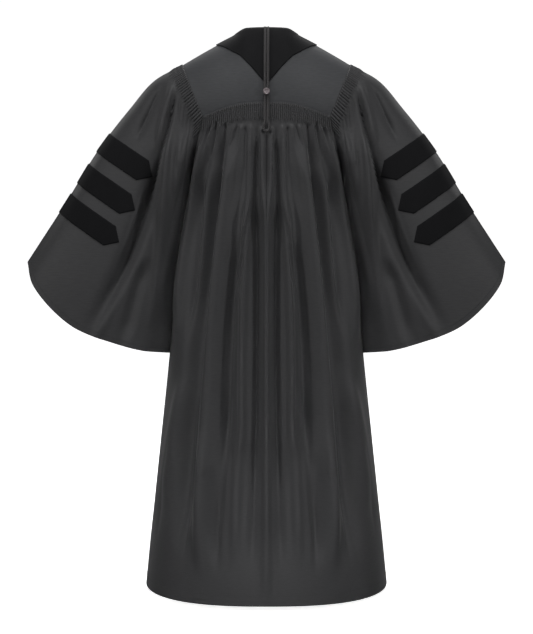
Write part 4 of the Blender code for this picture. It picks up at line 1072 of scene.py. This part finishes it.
# Front panels
def scene_front(seams, cloth):
    v_part = np.linspace(0, V_SHARE, 10)[:-1]
    band_part = np.linspace(V_SHARE, BAND_SHARE, 12)[:-1]
    flute_part = fluted_columns(BAND_SHARE, ARCH_SHARE, FRONT_FLUTES * 2)
    side_part = np.linspace(ARCH_SHARE, 1, SIDE_COLUMNS + 1)[1:]
    fine = np.concatenate([v_part, band_part, flute_part, side_part])
    plain = np.linspace(0, 1, FRONT_PLAIN_COLUMNS)

    def flutes(share, down):
        relief = flute_relief(share, down, BAND_SHARE, ARCH_SHARE, FRONT_FLUTES * 2, BACK_FLUTE_END, BACK_PINCHES)
        return np.where((share > BAND_SHARE) & (share < ARCH_SHARE), relief, 0.0)

    def pin(row, down):
        share = row.share
        if down == 0:
            on_seam = (share >= V_SHARE - 1e-9) & (share <= ARCH_SHARE + 1e-9)
            row.pin(on_seam, seams["front_yoke"], (share[on_seam] - V_SHARE) / (ARCH_SHARE - V_SHARE), FRONT_BELOW)
            arm = share > ARCH_SHARE + 1e-9
            at = -0.5 - 0.5 * (share[arm] - ARCH_SHARE) / (1 - ARCH_SHARE)
            row.pin(arm, seams["armhole"], at, BODY_SIDE)
        pin_side(row, [-1], 1)
        row.places[0, 0] = SEAM_GAP / 2
        row.out[0] = (0, 1, 0)

    outer = scene_rows(scene_front_surface, fine, FRONT_FINE_DOWNS, (0, 1), -1, flutes, pin)
    low = scene_rows(scene_front_surface, plain, FRONT_DOWNS, (0, 1), -1, None, pin)
    inner = scene_rows(scene_front_surface, plain, FRONT_FINE_DOWNS[::INNER_STEP * 2], (0, 1), -1, None, pin)
    wall = SceneWall(width=0.42).build(outer + low, inner + thinned(low))
    pieces = []
    for side, mirrored in SIDES:
        pieces.append(add_piece("front_cloth_" + side, wall.points, wall.faces, cloth, "front_panel_" + side,
                                mirrored, wall.uv))
    return pieces


# Yokes
def scene_yoke_shares(count):
    half = np.concatenate([np.linspace(0, NECK_SHARE, count + 1),
                           NECK_SHARE + (1 - NECK_SHARE) * np.linspace(0, 1, int(count * 1.2))[1:]])
    return np.concatenate([-half[::-1], half[1:]])


def scene_yoke(seams, cloth):
    share = scene_yoke_shares(40)
    rows = [yoke_row(share, down, seams) for down in np.linspace(0, 1, 49)]
    wall = SceneWall(width=0.17).build(rows, rows)
    return add_piece("yoke_cloth", wall.points, wall.faces, cloth, "back_yoke", uv=wall.uv)


def scene_front_yokes(seams, cloth):
    share = np.linspace(0, 1, 49)
    rows = [front_yoke_row(share, down, seams) for down in np.linspace(0, 1, 49)]
    wall = SceneWall(width=0.13).build(rows, rows)
    pieces = []
    for side, mirrored in SIDES:
        pieces.append(add_piece("front_yoke_cloth_" + side, wall.points, wall.faces, cloth, "front_yoke_" + side,
                                mirrored, wall.uv))
    return pieces


# Sleeves
def scene_sleeves(seams, cloth):
    low_part = np.linspace(-1, -SLEEVE_FLUTES_END, SIDE_COLUMNS + 1)[:-1]
    end = SLEEVE_FLUTES_END
    head = np.linspace(-end, end, 2 * SCENE_SLEEVE_FLUTES * COLUMNS_A_FLUTE + 1)
    fine = np.concatenate([low_part, head, -low_part[::-1][:-1]])
    plain = np.linspace(-1, 1, SLEEVE_PLAIN_COLUMNS + 1)[:-1]

    def flutes(share, down):
        side = np.abs(share)
        relief = flute_relief(side, down, 0.0, SLEEVE_FLUTES_END, SCENE_SLEEVE_FLUTES, SLEEVE_FLUTE_END, SLEEVE_PINCHES)
        return np.where(side < SLEEVE_FLUTES_END, relief, 0.0)

    def pin(row, down):
        if down == 0:
            row.pin(slice(None), seams["armhole"], row.share, SLEEVE_SIDE)

    outer = scene_rows(scene_sleeve_surface, fine, SLEEVE_FINE_DOWNS, (-2, 2), -1, flutes, pin)
    low = scene_rows(scene_sleeve_surface, plain, SLEEVE_DOWNS, (-2, 2), -1, None, pin)
    inner = scene_rows(scene_sleeve_surface, plain, SLEEVE_FINE_DOWNS[::INNER_STEP * 2], (-2, 2), -1, None, pin)
    wall = SceneWall(around=True, width=0.42).build(outer + low, inner + thinned(low))
    pieces = []
    for side, mirrored in SIDES:
        pieces.append(add_piece("sleeve_cloth_" + side, wall.points, wall.faces, cloth, "sleeve_" + side,
                                mirrored, wall.uv, around=True))
    return pieces, low


# Velvet
EDGE_ROLL = 0.0022


def rolled(distance, thickness):
    """How far a velvet edge sinks at a distance from its cut edge."""
    inside = np.clip(1 - distance / EDGE_ROLL, 0, 1)
    return -thickness * 0.75 * (1 - np.sqrt(1 - inside ** 2))


def scene_neck_velvet(velvet):
    widest = NECK_SHARE + VELVET_RIDGE_PART * (1 - NECK_SHARE)
    half = np.concatenate([np.linspace(0, NECK_SHARE, 41), np.linspace(NECK_SHARE, widest, 31)[1:]])
    share = np.concatenate([-half[::-1], half[1:]])
    ends = np.maximum(neck_v_down(share), NECK_V_LEAST)
    lines = []
    for column, end in zip(share, ends):
        down = np.concatenate([np.linspace(0, 1, 31)[:-1] * (end - 0.02), np.linspace(end - 0.02, end, 7)])
        line_share = np.full_like(down, column)
        out = way_out_of(yoke_surface, line_share, down, (-1, 1), 1)
        places = yoke_surface(line_share, down)
        if abs(column) >= NECK_SHARE - 1e-9:
            places[0, 1] -= SEAM_GAP
            out[0] = ridge_out(column)
        run = np.concatenate([[0], np.cumsum(np.linalg.norm(np.diff(places, axis=0), axis=1))])
        lift = rolled(np.minimum(run, run[-1] - run) if abs(column) < NECK_SHARE else run[-1] - run, VELVET_WALL)
        lines.append(Row(down, places, out, lift))
    wall = SceneWall(width=0.17).build(lines, lines, NECK_LAY_GAP + VELVET_WALL, NECK_LAY_GAP)
    return add_piece("neck_velvet_cloth", wall.points, wall.faces, velvet, "neck_velvet", uv=wall.uv)


def band_lift(row, top_distance):
    """How far the band sinks at its two long edges and along the V."""
    run = np.concatenate([[0], np.cumsum(np.linalg.norm(np.diff(row.places, axis=0), axis=1))])
    distance = np.minimum(run, run[-1] - run)
    if top_distance is not None:
        distance = np.where(row.share < V_SHARE, np.minimum(distance, top_distance), distance)
    return rolled(distance, VELVET_WALL)[:, None]


def scene_band_face(wall, yoke_rows, panel_rows, distance, rolls):
    """One face of a band, as in the part, with softly rolled edges on the outer face."""
    width = len(yoke_rows[0].share)
    v_count = len(panel_rows[0].share) - width

    def moved(row, top_distance=None):
        places = row.moved(distance)
        return places + row.out * band_lift(row, top_distance) if rolls else places

    on_yoke = [wall.line(moved(row), row.share) for row in yoke_rows]
    first_row = panel_rows[0]
    v_line = wall.line(moved(first_row, 0.0)[:v_count], first_row.share[:v_count])
    on_panel = [(v_line[0] + on_yoke[-1][0], list(first_row.share))]
    for row, down in zip(panel_rows[1:], BAND_DOWNS[1:]):
        on_panel.append(wall.line(moved(row, down * BAND_V_DEPTH), row.share))
    wall.skin(on_yoke)
    wall.skin(on_panel)
    inner_edge = [line[0][0] for line in on_yoke] + v_line[0][::-1] + [line[0][0] for line in on_panel[1:]]
    outer_edge = [line[0][-1] for line in on_yoke] + [line[0][-1] for line in on_panel[1:]]
    return on_yoke[0], on_panel[-1], inner_edge, outer_edge


BAND_COLUMNS = 24
BAND_DOWNS = np.concatenate([np.linspace(0, 0.004, 6), np.linspace(0.008, 1.0, 150)])
BAND_V_DEPTH = 0.8


def scene_bands(seams, velvet):
    yoke_share = np.linspace(0, BAND_STEPS / SEAM_STEPS, BAND_COLUMNS + 1)
    yoke_rows = []
    for down in np.linspace(0, 1, 41):
        whole = front_yoke_row(np.append(yoke_share, 1.0), down, seams)
        yoke_rows.append(Row(whole.share[:-1], whole.places[:-1], whole.out[:-1]))
    v_part = np.linspace(0, V_SHARE, 13)[:-1]
    share = np.concatenate([v_part, np.linspace(V_SHARE, BAND_SHARE, BAND_COLUMNS + 1)])
    panel_rows = []
    for down in BAND_DOWNS:
        row = surface_row(scene_front_surface, share, down, (0, 1), -1)
        row.places[0, 0] = SEAM_GAP / 2
        row.out[0] = (0, 1, 0)
        panel_rows.append(row)
    wall = SceneWall(width=0.42)
    outer = scene_band_face(wall, yoke_rows, panel_rows, LAY_GAP + VELVET_WALL, True)
    inner = scene_band_face(wall, yoke_rows, panel_rows, LAY_GAP, False)
    wall.rim(outer[0], inner[0])
    wall.rim(outer[1], inner[1])
    for outer_edge, inner_edge in zip(outer[2:], inner[2:]):
        steps = np.arange(len(outer_edge))
        stitch(wall.faces, outer_edge, inner_edge, steps, steps)
    pieces = []
    for side, mirrored in SIDES:
        pieces.append(add_piece("front_band_velvet_" + side, wall.points, wall.faces, velvet,
                                "front_band_" + side, mirrored, wall.uv))
    return pieces


# Velvet sleeve bars: cut from the sleeve's own faces, with a rolled edge
SLEEVE_MIDDLE = Vector((0.33, 0.0, -0.42))
BAR_EDGE_STEPS = (0.0006, 0.0016)
CUT_SNAP = 0.0003


def scene_sleeve_face(rows):
    wall = Wall(around=True)
    wall.skin([wall.line(row.places, row.share) for row in rows])
    form = bmesh.new()
    points = [form.verts.new(place) for place in wall.points]
    for face in wall.faces:
        form.faces.new([points[number] for number in face])
    bmesh.ops.recalc_face_normals(form, faces=form.faces)
    return form


def bar_cuts(row):
    """Planes that bound a bar: its two long sides and the two sides of its point."""
    middle = np.array([row["edge_x"], 0.0, row["edge_z"]])
    down = np.array([EDGE_RUN[0], 0.0, -EDGE_RUN[1]])
    inward = np.array([-BAR_RUN[0], 0.0, BAR_RUN[1]])
    tip = middle + inward * row["length"]
    cuts = []
    for side in (-1, 1):
        cuts.append((middle + down * side * BAR_WIDTH / 2, down * side))
        cuts.append((tip, unit(inward * BAR_WIDTH / 2 + down * side * BAR_POINT)))
    return cuts


def distance_to_cuts(place, cuts):
    """How far inside its bounding planes a place lies."""
    return min(float(np.dot(np.array(start) - np.array(place), unit(np.array(way)))) for start, way in cuts)


def scene_bars(velvet, rows):
    pieces = []
    for number, bar in enumerate(BAR_ROWS, start=1):
        form = scene_sleeve_face(rows)
        cuts = bar_cuts(dict(zip(BAR_COLUMNS.split(), bar)))
        for inset in (0.0, BAR_EDGE_STEPS[0], BAR_EDGE_STEPS[1] + BAR_EDGE_STEPS[0]):
            for place, way in cuts:
                everything = form.verts[:] + form.edges[:] + form.faces[:]
                bmesh.ops.bisect_plane(form, geom=everything, dist=CUT_SNAP, plane_co=place - unit(way) * inset,
                                       plane_no=way, clear_outer=inset == 0.0)
        form.normal_update()
        form.verts.index_update()
        count = len(form.verts)
        facing = 1 if sum(v.normal.dot(v.co - SLEEVE_MIDDLE) for v in form.verts) > 0 else -1
        points = [tuple(v.co + v.normal * facing * LAY_GAP) for v in form.verts]
        for v in form.verts:
            sink = rolled(np.array(max(distance_to_cuts(v.co, cuts), 0.0)), VELVET_WALL)
            points.append(tuple(v.co + v.normal * facing * (LAY_GAP + VELVET_WALL + float(sink))))
        faces = [[v.index for v in face.verts] for face in form.faces]
        faces += [[v.index + count for v in face.verts] for face in form.faces]
        for edge in form.edges:
            if edge.is_boundary:
                first, second = (v.index for v in edge.verts)
                faces.append((first, second, second + count, first + count))
        form.free()
        uv = [(x, z) for x, y, z in points]
        for side, mirrored in SIDES:
            pieces.append(add_piece(f"bar_velvet_{side}_{number}", points, faces, velvet,
                                    f"bar_{side}_{number}", mirrored, uv))
    return pieces


# Hood cord: two strands, each of twisted plies
PLY_COUNT = 3
PLY_RADIUS = 0.00165
PLY_OFFSET = (0.00155, 0.00105)
PLY_PITCH = 0.0125
PLY_SIDES = 8
PLY_STEP = 0.0009


def spread(path, out, step):
    """A path and its ways out at even steps."""
    run = np.concatenate([[0], np.cumsum(np.linalg.norm(np.diff(path, axis=0), axis=1))])
    at = np.linspace(0, run[-1], int(run[-1] / step))
    places = np.stack([smooth(run, path[:, i], at) for i in range(3)], axis=-1)
    ways = unit(np.stack([np.interp(at, run, out[:, i]) for i in range(3)], axis=-1))
    return at, places, ways


def tube(path, across, up, width, thickness, sides, points, faces):
    """Adds a closed tube along a path to a list of points and faces."""
    rings = []
    for middle, aside, way in zip(path, across, up):
        ring = []
        for angle in np.linspace(0, 2 * np.pi, sides, endpoint=False):
            ring.append(len(points))
            points.append(tuple(middle + aside * np.cos(angle) * width + way * np.sin(angle) * thickness))
        rings.append(ring)
    for first, second in zip(rings, rings[1:]):
        for i in range(sides):
            j = (i + 1) % sides
            faces.append((first[i], first[j], second[j], second[i]))
    faces.append(tuple(rings[0]))
    faces.append(tuple(rings[-1]))


def scene_cord(cloth):
    path, out = cord_path()
    at, path, out = spread(path, out, PLY_STEP)
    tangent = unit(np.gradient(path, axis=0))
    across = unit(np.cross(tangent, out))
    points, faces = [], []
    for ply in range(PLY_COUNT):
        angle = (2 * np.pi * (at / PLY_PITCH + ply / PLY_COUNT))[:, None]
        line = path + across * np.cos(angle) * PLY_OFFSET[0] + out * np.sin(angle) * PLY_OFFSET[1]
        tube(line, across, out, PLY_RADIUS, PLY_RADIUS * 0.8, PLY_SIDES, points, faces)
    return add_piece("hood_cord_twist", points, faces, cloth, "hood_cord")


# Hood button: a domed rim round a sunken centre
SCENE_BUTTON_PROFILE = ((0.0, 0.0), (0.70, 0.0), (0.90, 0.10), (0.985, 0.28), (1.0, 0.50), (0.975, 0.74),
                        (0.90, 0.92), (0.80, 1.0), (0.70, 0.97), (0.62, 0.86), (0.54, 0.80), (0.30, 0.78),
                        (0.0, 0.78))
SCENE_BUTTON_STEPS = 64


def button_frame():
    y, out = on_centre_line(np.array([BUTTON_HEIGHT]), *centre_line())
    base = CORD_LIFT + CORD_THICKNESS / 2 + SEAM_GAP
    middle = np.array([0.0, y[0], BUTTON_HEIGHT]) + out[0] * base
    across = np.array([1.0, 0.0, 0.0])
    return middle, across, np.cross(out[0], across), out[0]


def scene_button(plastic):
    form = bmesh.new()
    points = []
    for radius, height in SCENE_BUTTON_PROFILE:
        points.append(form.verts.new((radius * BUTTON_RADIUS, 0, height * BUTTON_THICKNESS)))
    edges = [form.edges.new(pair) for pair in zip(points, points[1:])]
    bmesh.ops.spin(form, geom=points + edges, cent=(0, 0, 0), axis=(0, 0, 1), angle=2 * np.pi,
                   steps=SCENE_BUTTON_STEPS)
    bmesh.ops.remove_doubles(form, verts=form.verts, dist=1e-6)
    middle, across, up, out = button_frame()
    places = [tuple(middle + across * v.co.x + up * v.co.y + out * v.co.z) for v in form.verts]
    form.verts.index_update()
    faces = [[v.index for v in face.verts] for face in form.faces]
    form.free()
    return add_piece("hood_button_domed", places, faces, plastic, "hood_button")


# Stitching: short raised threads along a line
STITCH_PITCH = 0.0034
STITCH_LENGTH = 0.0024
STITCH_RADIUS = 0.00028
STITCH_SIDES = 5
STITCH_LIFT = 0.00022
STITCH_TAPER = (0.35, 1.0, 0.35)


def stitches(lines):
    """Points and faces of threads along lines of (places, ways out)."""
    points, faces = [], []
    for places, out in lines:
        at, line, ways = spread(places, out, STITCH_PITCH / 4)
        for start in range(2, len(line) - 4, 4):
            part = line[[start, start + 1, start + 3]] + ways[[start, start + 1, start + 3]] * STITCH_LIFT
            tangent = unit(part[2] - part[0])
            up = ways[start + 1]
            across = unit(np.cross(tangent, up))
            rings = []
            for middle, size in zip(part, STITCH_TAPER):
                ring = []
                for angle in np.linspace(0, 2 * np.pi, STITCH_SIDES, endpoint=False):
                    ring.append(len(points))
                    offset = (across * np.cos(angle) + up * np.sin(angle)) * STITCH_RADIUS * size
                    points.append(tuple(middle + offset))
                rings.append(ring)
            for first, second in zip(rings, rings[1:]):
                for i in range(STITCH_SIDES):
                    j = (i + 1) % STITCH_SIDES
                    faces.append((first[i], first[j], second[j], second[i]))
            faces.append(tuple(rings[0]))
            faces.append(tuple(rings[-1]))
    return points, faces


def surface_line(surface, share, down, share_range, facing, lift=0.0):
    """A line on a surface through arrays of shares, with its ways out."""
    out = way_out_of(surface, share, down, share_range, facing)
    return surface(share, down) + out * lift, out


def scene_stitching(thread):
    pieces = []
    turn = np.linspace(-0.985, 0.985, 400)
    hem = surface_line(scene_back_surface, turn, np.full_like(turn, 1 - HEM_DEPTH), (-1, 1), 1)
    points, faces = stitches([hem])
    pieces.append(add_piece("hem_stitching_back", points, faces, thread, None))
    turn = np.linspace(BAND_SHARE + 0.01, 0.985, 250)
    hem = surface_line(scene_front_surface, turn, np.full_like(turn, 1 - HEM_DEPTH), (0, 1), -1)
    points, faces = stitches([hem])
    for side, mirrored in SIDES:
        pieces.append(add_piece("hem_stitching_front_" + side, points, faces, thread, None, mirrored))
    share = np.linspace(-0.995, 0.995, 700)
    hem = surface_line(scene_sleeve_surface, share, np.full_like(share, 1 - HEM_DEPTH), (-2, 2), -1)
    points, faces = stitches([hem])
    for side, mirrored in SIDES:
        pieces.append(add_piece("sleeve_stitching_" + side, points, faces, thread, None, mirrored))
    share = np.linspace(-0.97, 0.97, 200)
    arch_line = surface_line(yoke_surface, share, np.full_like(share, 0.985), (-1, 1), 1)
    points, faces = stitches([arch_line])
    pieces.append(add_piece("yoke_stitching_back", points, faces, thread, None))
    return pieces


# Materials
class Nodes:
    """A short way to add and join shader nodes."""

    def __init__(self, name):
        self.material = bpy.data.materials.new(name)
        self.material.use_nodes = True
        self.tree = self.material.node_tree
        self.shader = self.tree.nodes["Principled BSDF"]

    def add(self, kind, **values):
        node = self.tree.nodes.new(kind)
        for name, value in values.items():
            setattr(node, name, value)
        return node

    def join(self, source, target):
        self.tree.links.new(source, target)

    def math(self, operation, first, second):
        node = self.add("ShaderNodeMath", operation=operation)
        for socket, value in zip(node.inputs, (first, second)):
            if isinstance(value, (int, float)):
                socket.default_value = value
            else:
                self.join(value, socket)
        return node.outputs[0]

    def noise(self, place, scale, detail=2.0, roughness=0.5):
        stretch = self.add("ShaderNodeVectorMath", operation="MULTIPLY")
        self.join(place, stretch.inputs[0])
        stretch.inputs[1].default_value = scale
        node = self.add("ShaderNodeTexNoise")
        node.inputs["Scale"].default_value = 1.0
        node.inputs["Detail"].default_value = detail
        node.inputs["Roughness"].default_value = roughness
        self.join(stretch.outputs[0], node.inputs["Vector"])
        return node.outputs["Fac"]

    def tint(self, factor, dark, light):
        """A colour between two, by a factor from 0 to 1."""
        node = self.add("ShaderNodeMix", data_type="RGBA")
        node.inputs[6].default_value = (*dark, 1.0)
        node.inputs[7].default_value = (*light, 1.0)
        self.join(factor, node.inputs[0])
        return node.outputs[2]

    def bump(self, height, distance, strength, under=None):
        node = self.add("ShaderNodeBump")
        node.inputs["Distance"].default_value = distance
        node.inputs["Strength"].default_value = strength
        self.join(height, node.inputs["Height"])
        if under:
            self.join(under, node.inputs["Normal"])
        return node.outputs["Normal"]

    def set(self, **values):
        for name, value in values.items():
            self.shader.inputs[name.replace("_", " ")].default_value = value


def gown_material(name, dark, light, roughness, sheen):
    nodes = Nodes(name)
    place = nodes.add("ShaderNodeUVMap", uv_map="weave").outputs[0]
    slub = nodes.noise(place, (70, 330, 1), 3.0)
    weft = nodes.noise(place, (90, 900, 1), 2.0)
    cloud = nodes.noise(place, (9, 5, 1), 2.0)
    mixed = nodes.math("ADD", nodes.math("MULTIPLY", slub, 0.7), nodes.math("MULTIPLY", cloud, 0.3))
    nodes.join(nodes.tint(mixed, dark, light), nodes.shader.inputs["Base Color"])
    yarns = nodes.math("ADD", nodes.noise(place, (1300, 240, 1), 1.0), nodes.noise(place, (240, 1300, 1), 1.0))
    coarse = nodes.bump(nodes.math("ADD", slub, weft), 0.0006, 0.25)
    nodes.join(nodes.bump(yarns, 0.0002, 0.35, coarse), nodes.shader.inputs["Normal"])
    nodes.set(Roughness=roughness, Sheen_Weight=sheen, Sheen_Roughness=0.45)
    nodes.shader.inputs["Specular IOR Level"].default_value = 0.30
    return nodes.material


def velvet_material(name, dark, light, sheen):
    nodes = Nodes(name)
    place = nodes.add("ShaderNodeTexCoord").outputs["Object"]
    nap = nodes.noise(place, (28, 28, 14), 3.0)
    pile = nodes.noise(place, (1600, 1600, 1600), 1.0)
    mixed = nodes.math("ADD", nodes.math("MULTIPLY", nap, 0.7), nodes.math("MULTIPLY", pile, 0.3))
    nodes.join(nodes.tint(mixed, dark, light), nodes.shader.inputs["Base Color"])
    coarse = nodes.bump(nodes.noise(place, (240, 240, 120), 2.0), 0.0008, 0.2)
    nodes.join(nodes.bump(pile, 0.0003, 0.5, coarse), nodes.shader.inputs["Normal"])
    nodes.set(Roughness=0.9, Sheen_Weight=sheen, Sheen_Roughness=0.35)
    nodes.shader.inputs["Specular IOR Level"].default_value = 0.15
    return nodes.material


def cord_material(name, dark, light):
    nodes = Nodes(name)
    place = nodes.add("ShaderNodeTexCoord").outputs["Object"]
    fibre = nodes.noise(place, (1800, 1800, 500), 2.0)
    nodes.join(nodes.tint(fibre, dark, light), nodes.shader.inputs["Base Color"])
    nodes.join(nodes.bump(fibre, 0.0003, 0.5), nodes.shader.inputs["Normal"])
    nodes.set(Roughness=0.7, Sheen_Weight=0.10, Sheen_Roughness=0.4)
    return nodes.material


def button_material(name, dark, light):
    nodes = Nodes(name)
    place = nodes.add("ShaderNodeTexCoord").outputs["Object"]
    cloud = nodes.noise(place, (300, 300, 300), 2.0)
    nodes.join(nodes.tint(cloud, dark, light), nodes.shader.inputs["Base Color"])
    nodes.join(nodes.bump(nodes.noise(place, (1500, 1500, 1500), 1.0), 0.0001, 0.1), nodes.shader.inputs["Normal"])
    nodes.set(Roughness=0.32, Coat_Weight=0.3, Coat_Roughness=0.15)
    return nodes.material


# The size each piece is cut to, before it is fluted or laid: width and length, area, how it is
# held, what it hangs from or lies on, and its stitching. SIDE stands for each side in turn
SHEETS = (
    ("back_cloth", 0.88, 1.13, 0.80, "gathered", ("yoke_cloth",), ("hem_stitching_back",)),
    ("front_cloth_SIDE", 0.42, 1.17, 0.37, "gathered", ("front_yoke_cloth_SIDE",), ("hem_stitching_front_SIDE",)),
    ("yoke_cloth", 0.39, 0.21, 0.075, "draped", ("front_yoke_cloth_right", "front_yoke_cloth_left"),
     ("yoke_stitching_back",)),
    ("front_yoke_cloth_SIDE", 0.17, 0.18, 0.0243, "draped", ("yoke_cloth",), ()),
    ("sleeve_cloth_SIDE", 0.95, 0.67, 0.42, "gathered", ("yoke_cloth", "front_yoke_cloth_SIDE"),
     ("sleeve_stitching_SIDE",)),
    ("neck_velvet_cloth", 0.26, 0.14, 0.0243, "laid", ("yoke_cloth",), ()),
    ("front_band_velvet_SIDE", 0.105, 1.30, 0.115, "laid", ("front_yoke_cloth_SIDE", "front_cloth_SIDE"), ()),
    ("bar_velvet_SIDE_1", 0.355, 0.053, 0.0178, "laid", ("sleeve_cloth_SIDE",), ()),
    ("bar_velvet_SIDE_2", 0.365, 0.053, 0.0183, "laid", ("sleeve_cloth_SIDE",), ()),
    ("bar_velvet_SIDE_3", 0.375, 0.053, 0.0187, "laid", ("sleeve_cloth_SIDE",), ()),
)


def declare_sheets():
    for name, width, length, area, held, rests_on, stitching in SHEETS:
        for side in ("right", "left") if "SIDE" in name else ("",):
            piece = bpy.data.objects[name.replace("SIDE", side)]
            lies_on = [under.replace("SIDE", side) for under in rests_on]
            sewn = [bpy.data.objects[thread.replace("SIDE", side)] for thread in stitching]


# Studio
CAMERA_PLACE = (0.0, -2.90, -0.32)
CAMERA_AIM = (0.0, 0.0, -0.640)
CAMERA_LENS = 70.2
FLOOR_HEIGHT = -1.292
STAGE_WHITE = (0.93, 0.93, 0.93, 1.0)
WORLD_STRENGTH = 0.064
# Name, place, aim, size, spread and power of each light
LIGHTS = (
    ("far_left", (-5.2, -3.2, 0.9), (0.0, 0.0, -0.70), 0.9, 50, 7.4),
    ("far_right", (5.2, -3.2, 0.9), (0.0, 0.0, -0.70), 0.9, 50, 7.4),
    ("near_left", (-3.0, -3.6, 1.4), (0.0, 0.0, -0.60), 0.8, 60, 2.4),
    ("near_right", (3.0, -3.6, 1.4), (0.0, 0.0, -0.60), 0.8, 60, 2.4),
    ("top", (0.0, -1.2, 1.8), (0.0, 0.0, -0.20), 1.2, 180, 38.0),
    ("low", (0.0, -2.3, -1.1), (0.0, -0.2, -1.12), 0.5, 30, 0.58),
    ("front", (0.0, -3.2, 0.4), (0.0, 0.0, -0.60), 0.8, 180, 2.6),
    ("chest_left", (-3.2, 3.2, 0.9), (0.0, 0.0, -0.60), 1.0, 180, 30.0),
    ("chest_right", (3.2, 3.2, 0.9), (0.0, 0.0, -0.60), 1.0, 180, 30.0),
    ("chest_top", (0.0, 1.6, 1.8), (0.0, 0.0, -0.20), 1.2, 180, 30.0),
)


def aimed(thing, place, aim):
    thing.location = place
    thing.rotation_euler = (Vector(aim) - Vector(place)).to_track_quat("-Z", "Y").to_euler()


def add_camera():
    camera = bpy.data.objects.new("camera", bpy.data.cameras.new("camera"))
    camera.data.lens = CAMERA_LENS
    bpy.context.scene.collection.objects.link(camera)
    aimed(camera, CAMERA_PLACE, CAMERA_AIM)
    bpy.context.scene.camera = camera


def add_lights():
    for name, place, aim, size, spread, power in LIGHTS:
        light = bpy.data.lights.new(name, "AREA")
        light.shape = "DISK"
        light.size = size
        light.spread = np.radians(spread)
        light.energy = power
        lamp = bpy.data.objects.new(name, light)
        bpy.context.scene.collection.objects.link(lamp)
        aimed(lamp, place, aim)
    world = bpy.data.worlds.new("studio")
    world.use_nodes = True
    world.node_tree.nodes["Background"].inputs["Color"].default_value = (1.0, 1.0, 1.0, 1.0)
    world.node_tree.nodes["Background"].inputs["Strength"].default_value = WORLD_STRENGTH
    bpy.context.scene.world = world
    bpy.context.scene.view_settings.view_transform = "Standard"


def add_stage():
    """A pale floor that curves up into a pale wall behind the gown."""
    angles = np.linspace(0, np.pi / 2, 17)
    profile = [(-6.0, 0.0)] + [(4.0 + np.sin(a), 1.0 - np.cos(a)) for a in angles] + [(5.0, 7.0)]
    points, faces = [], []
    for x in (-8.0, 8.0):
        points.extend((x, y, FLOOR_HEIGHT + z) for y, z in profile)
    count = len(profile)
    for i in range(count - 1):
        faces.append((i, i + 1, i + 1 + count, i + count))
    mesh = bpy.data.meshes.new("stage")
    mesh.from_pydata(points, [], faces)
    mesh.shade_smooth()
    stage = bpy.data.objects.new("stage", mesh)
    nodes = Nodes("stage_white")
    nodes.shader.inputs["Base Color"].default_value = STAGE_WHITE
    nodes.set(Roughness=1.0, Emission_Color=STAGE_WHITE, Emission_Strength=0.95)
    mesh.materials.append(nodes.material)
    bpy.context.scene.collection.objects.link(stage)
    stage.visible_diffuse = False
    stage.visible_glossy = False


def main():
    seams = {
        "armhole": armhole_seam(),
        "arch": arch_seam(),
        "shoulder": shoulder_seam(),
        "front_yoke": front_yoke_seam(),
    }
    gown_cloth = gown_material("gown_cloth", (0.0165, 0.0165, 0.0178), (0.0405, 0.0405, 0.0422), 0.62, 0.10)
    # The yoke's cloth is the gown's same cloth painted lighter: painted light where the yoke faces up toward the top
    # light
    yoke_cloth_painted_light = gown_material("yoke_cloth", (0.0225, 0.0236, 0.0254), (0.0525, 0.0540, 0.0580), 0.62, 0.10)
    velvet = velvet_material("velvet", (0.004, 0.004, 0.0045), (0.010, 0.010, 0.011), 0.10)
    bar_velvet = velvet_material("bar_velvet", (0.003, 0.003, 0.0035), (0.007, 0.007, 0.008), 0.05)
    cord = cord_material("hood_cord", (0.018, 0.017, 0.0175), (0.044, 0.041, 0.0425))
    plastic = button_material("hood_button", (0.14, 0.115, 0.122), (0.17, 0.145, 0.152))
    thread = gown_material("thread", (0.010, 0.010, 0.011), (0.018, 0.018, 0.019), 0.7, 0.0)
    add_camera()
    add_lights()
    add_stage()
    scene_back(seams, gown_cloth)
    scene_front(seams, gown_cloth)
    scene_yoke(seams, yoke_cloth_painted_light)
    scene_front_yokes(seams, yoke_cloth_painted_light)
    sleeves, sleeve_low = scene_sleeves(seams, gown_cloth)
    scene_neck_velvet(velvet)
    scene_bands(seams, velvet)
    scene_bars(bar_velvet, sleeve_low)
    scene_cord(cord)
    scene_button(plastic)
    scene_stitching(thread)
    declare_sheets()


main()
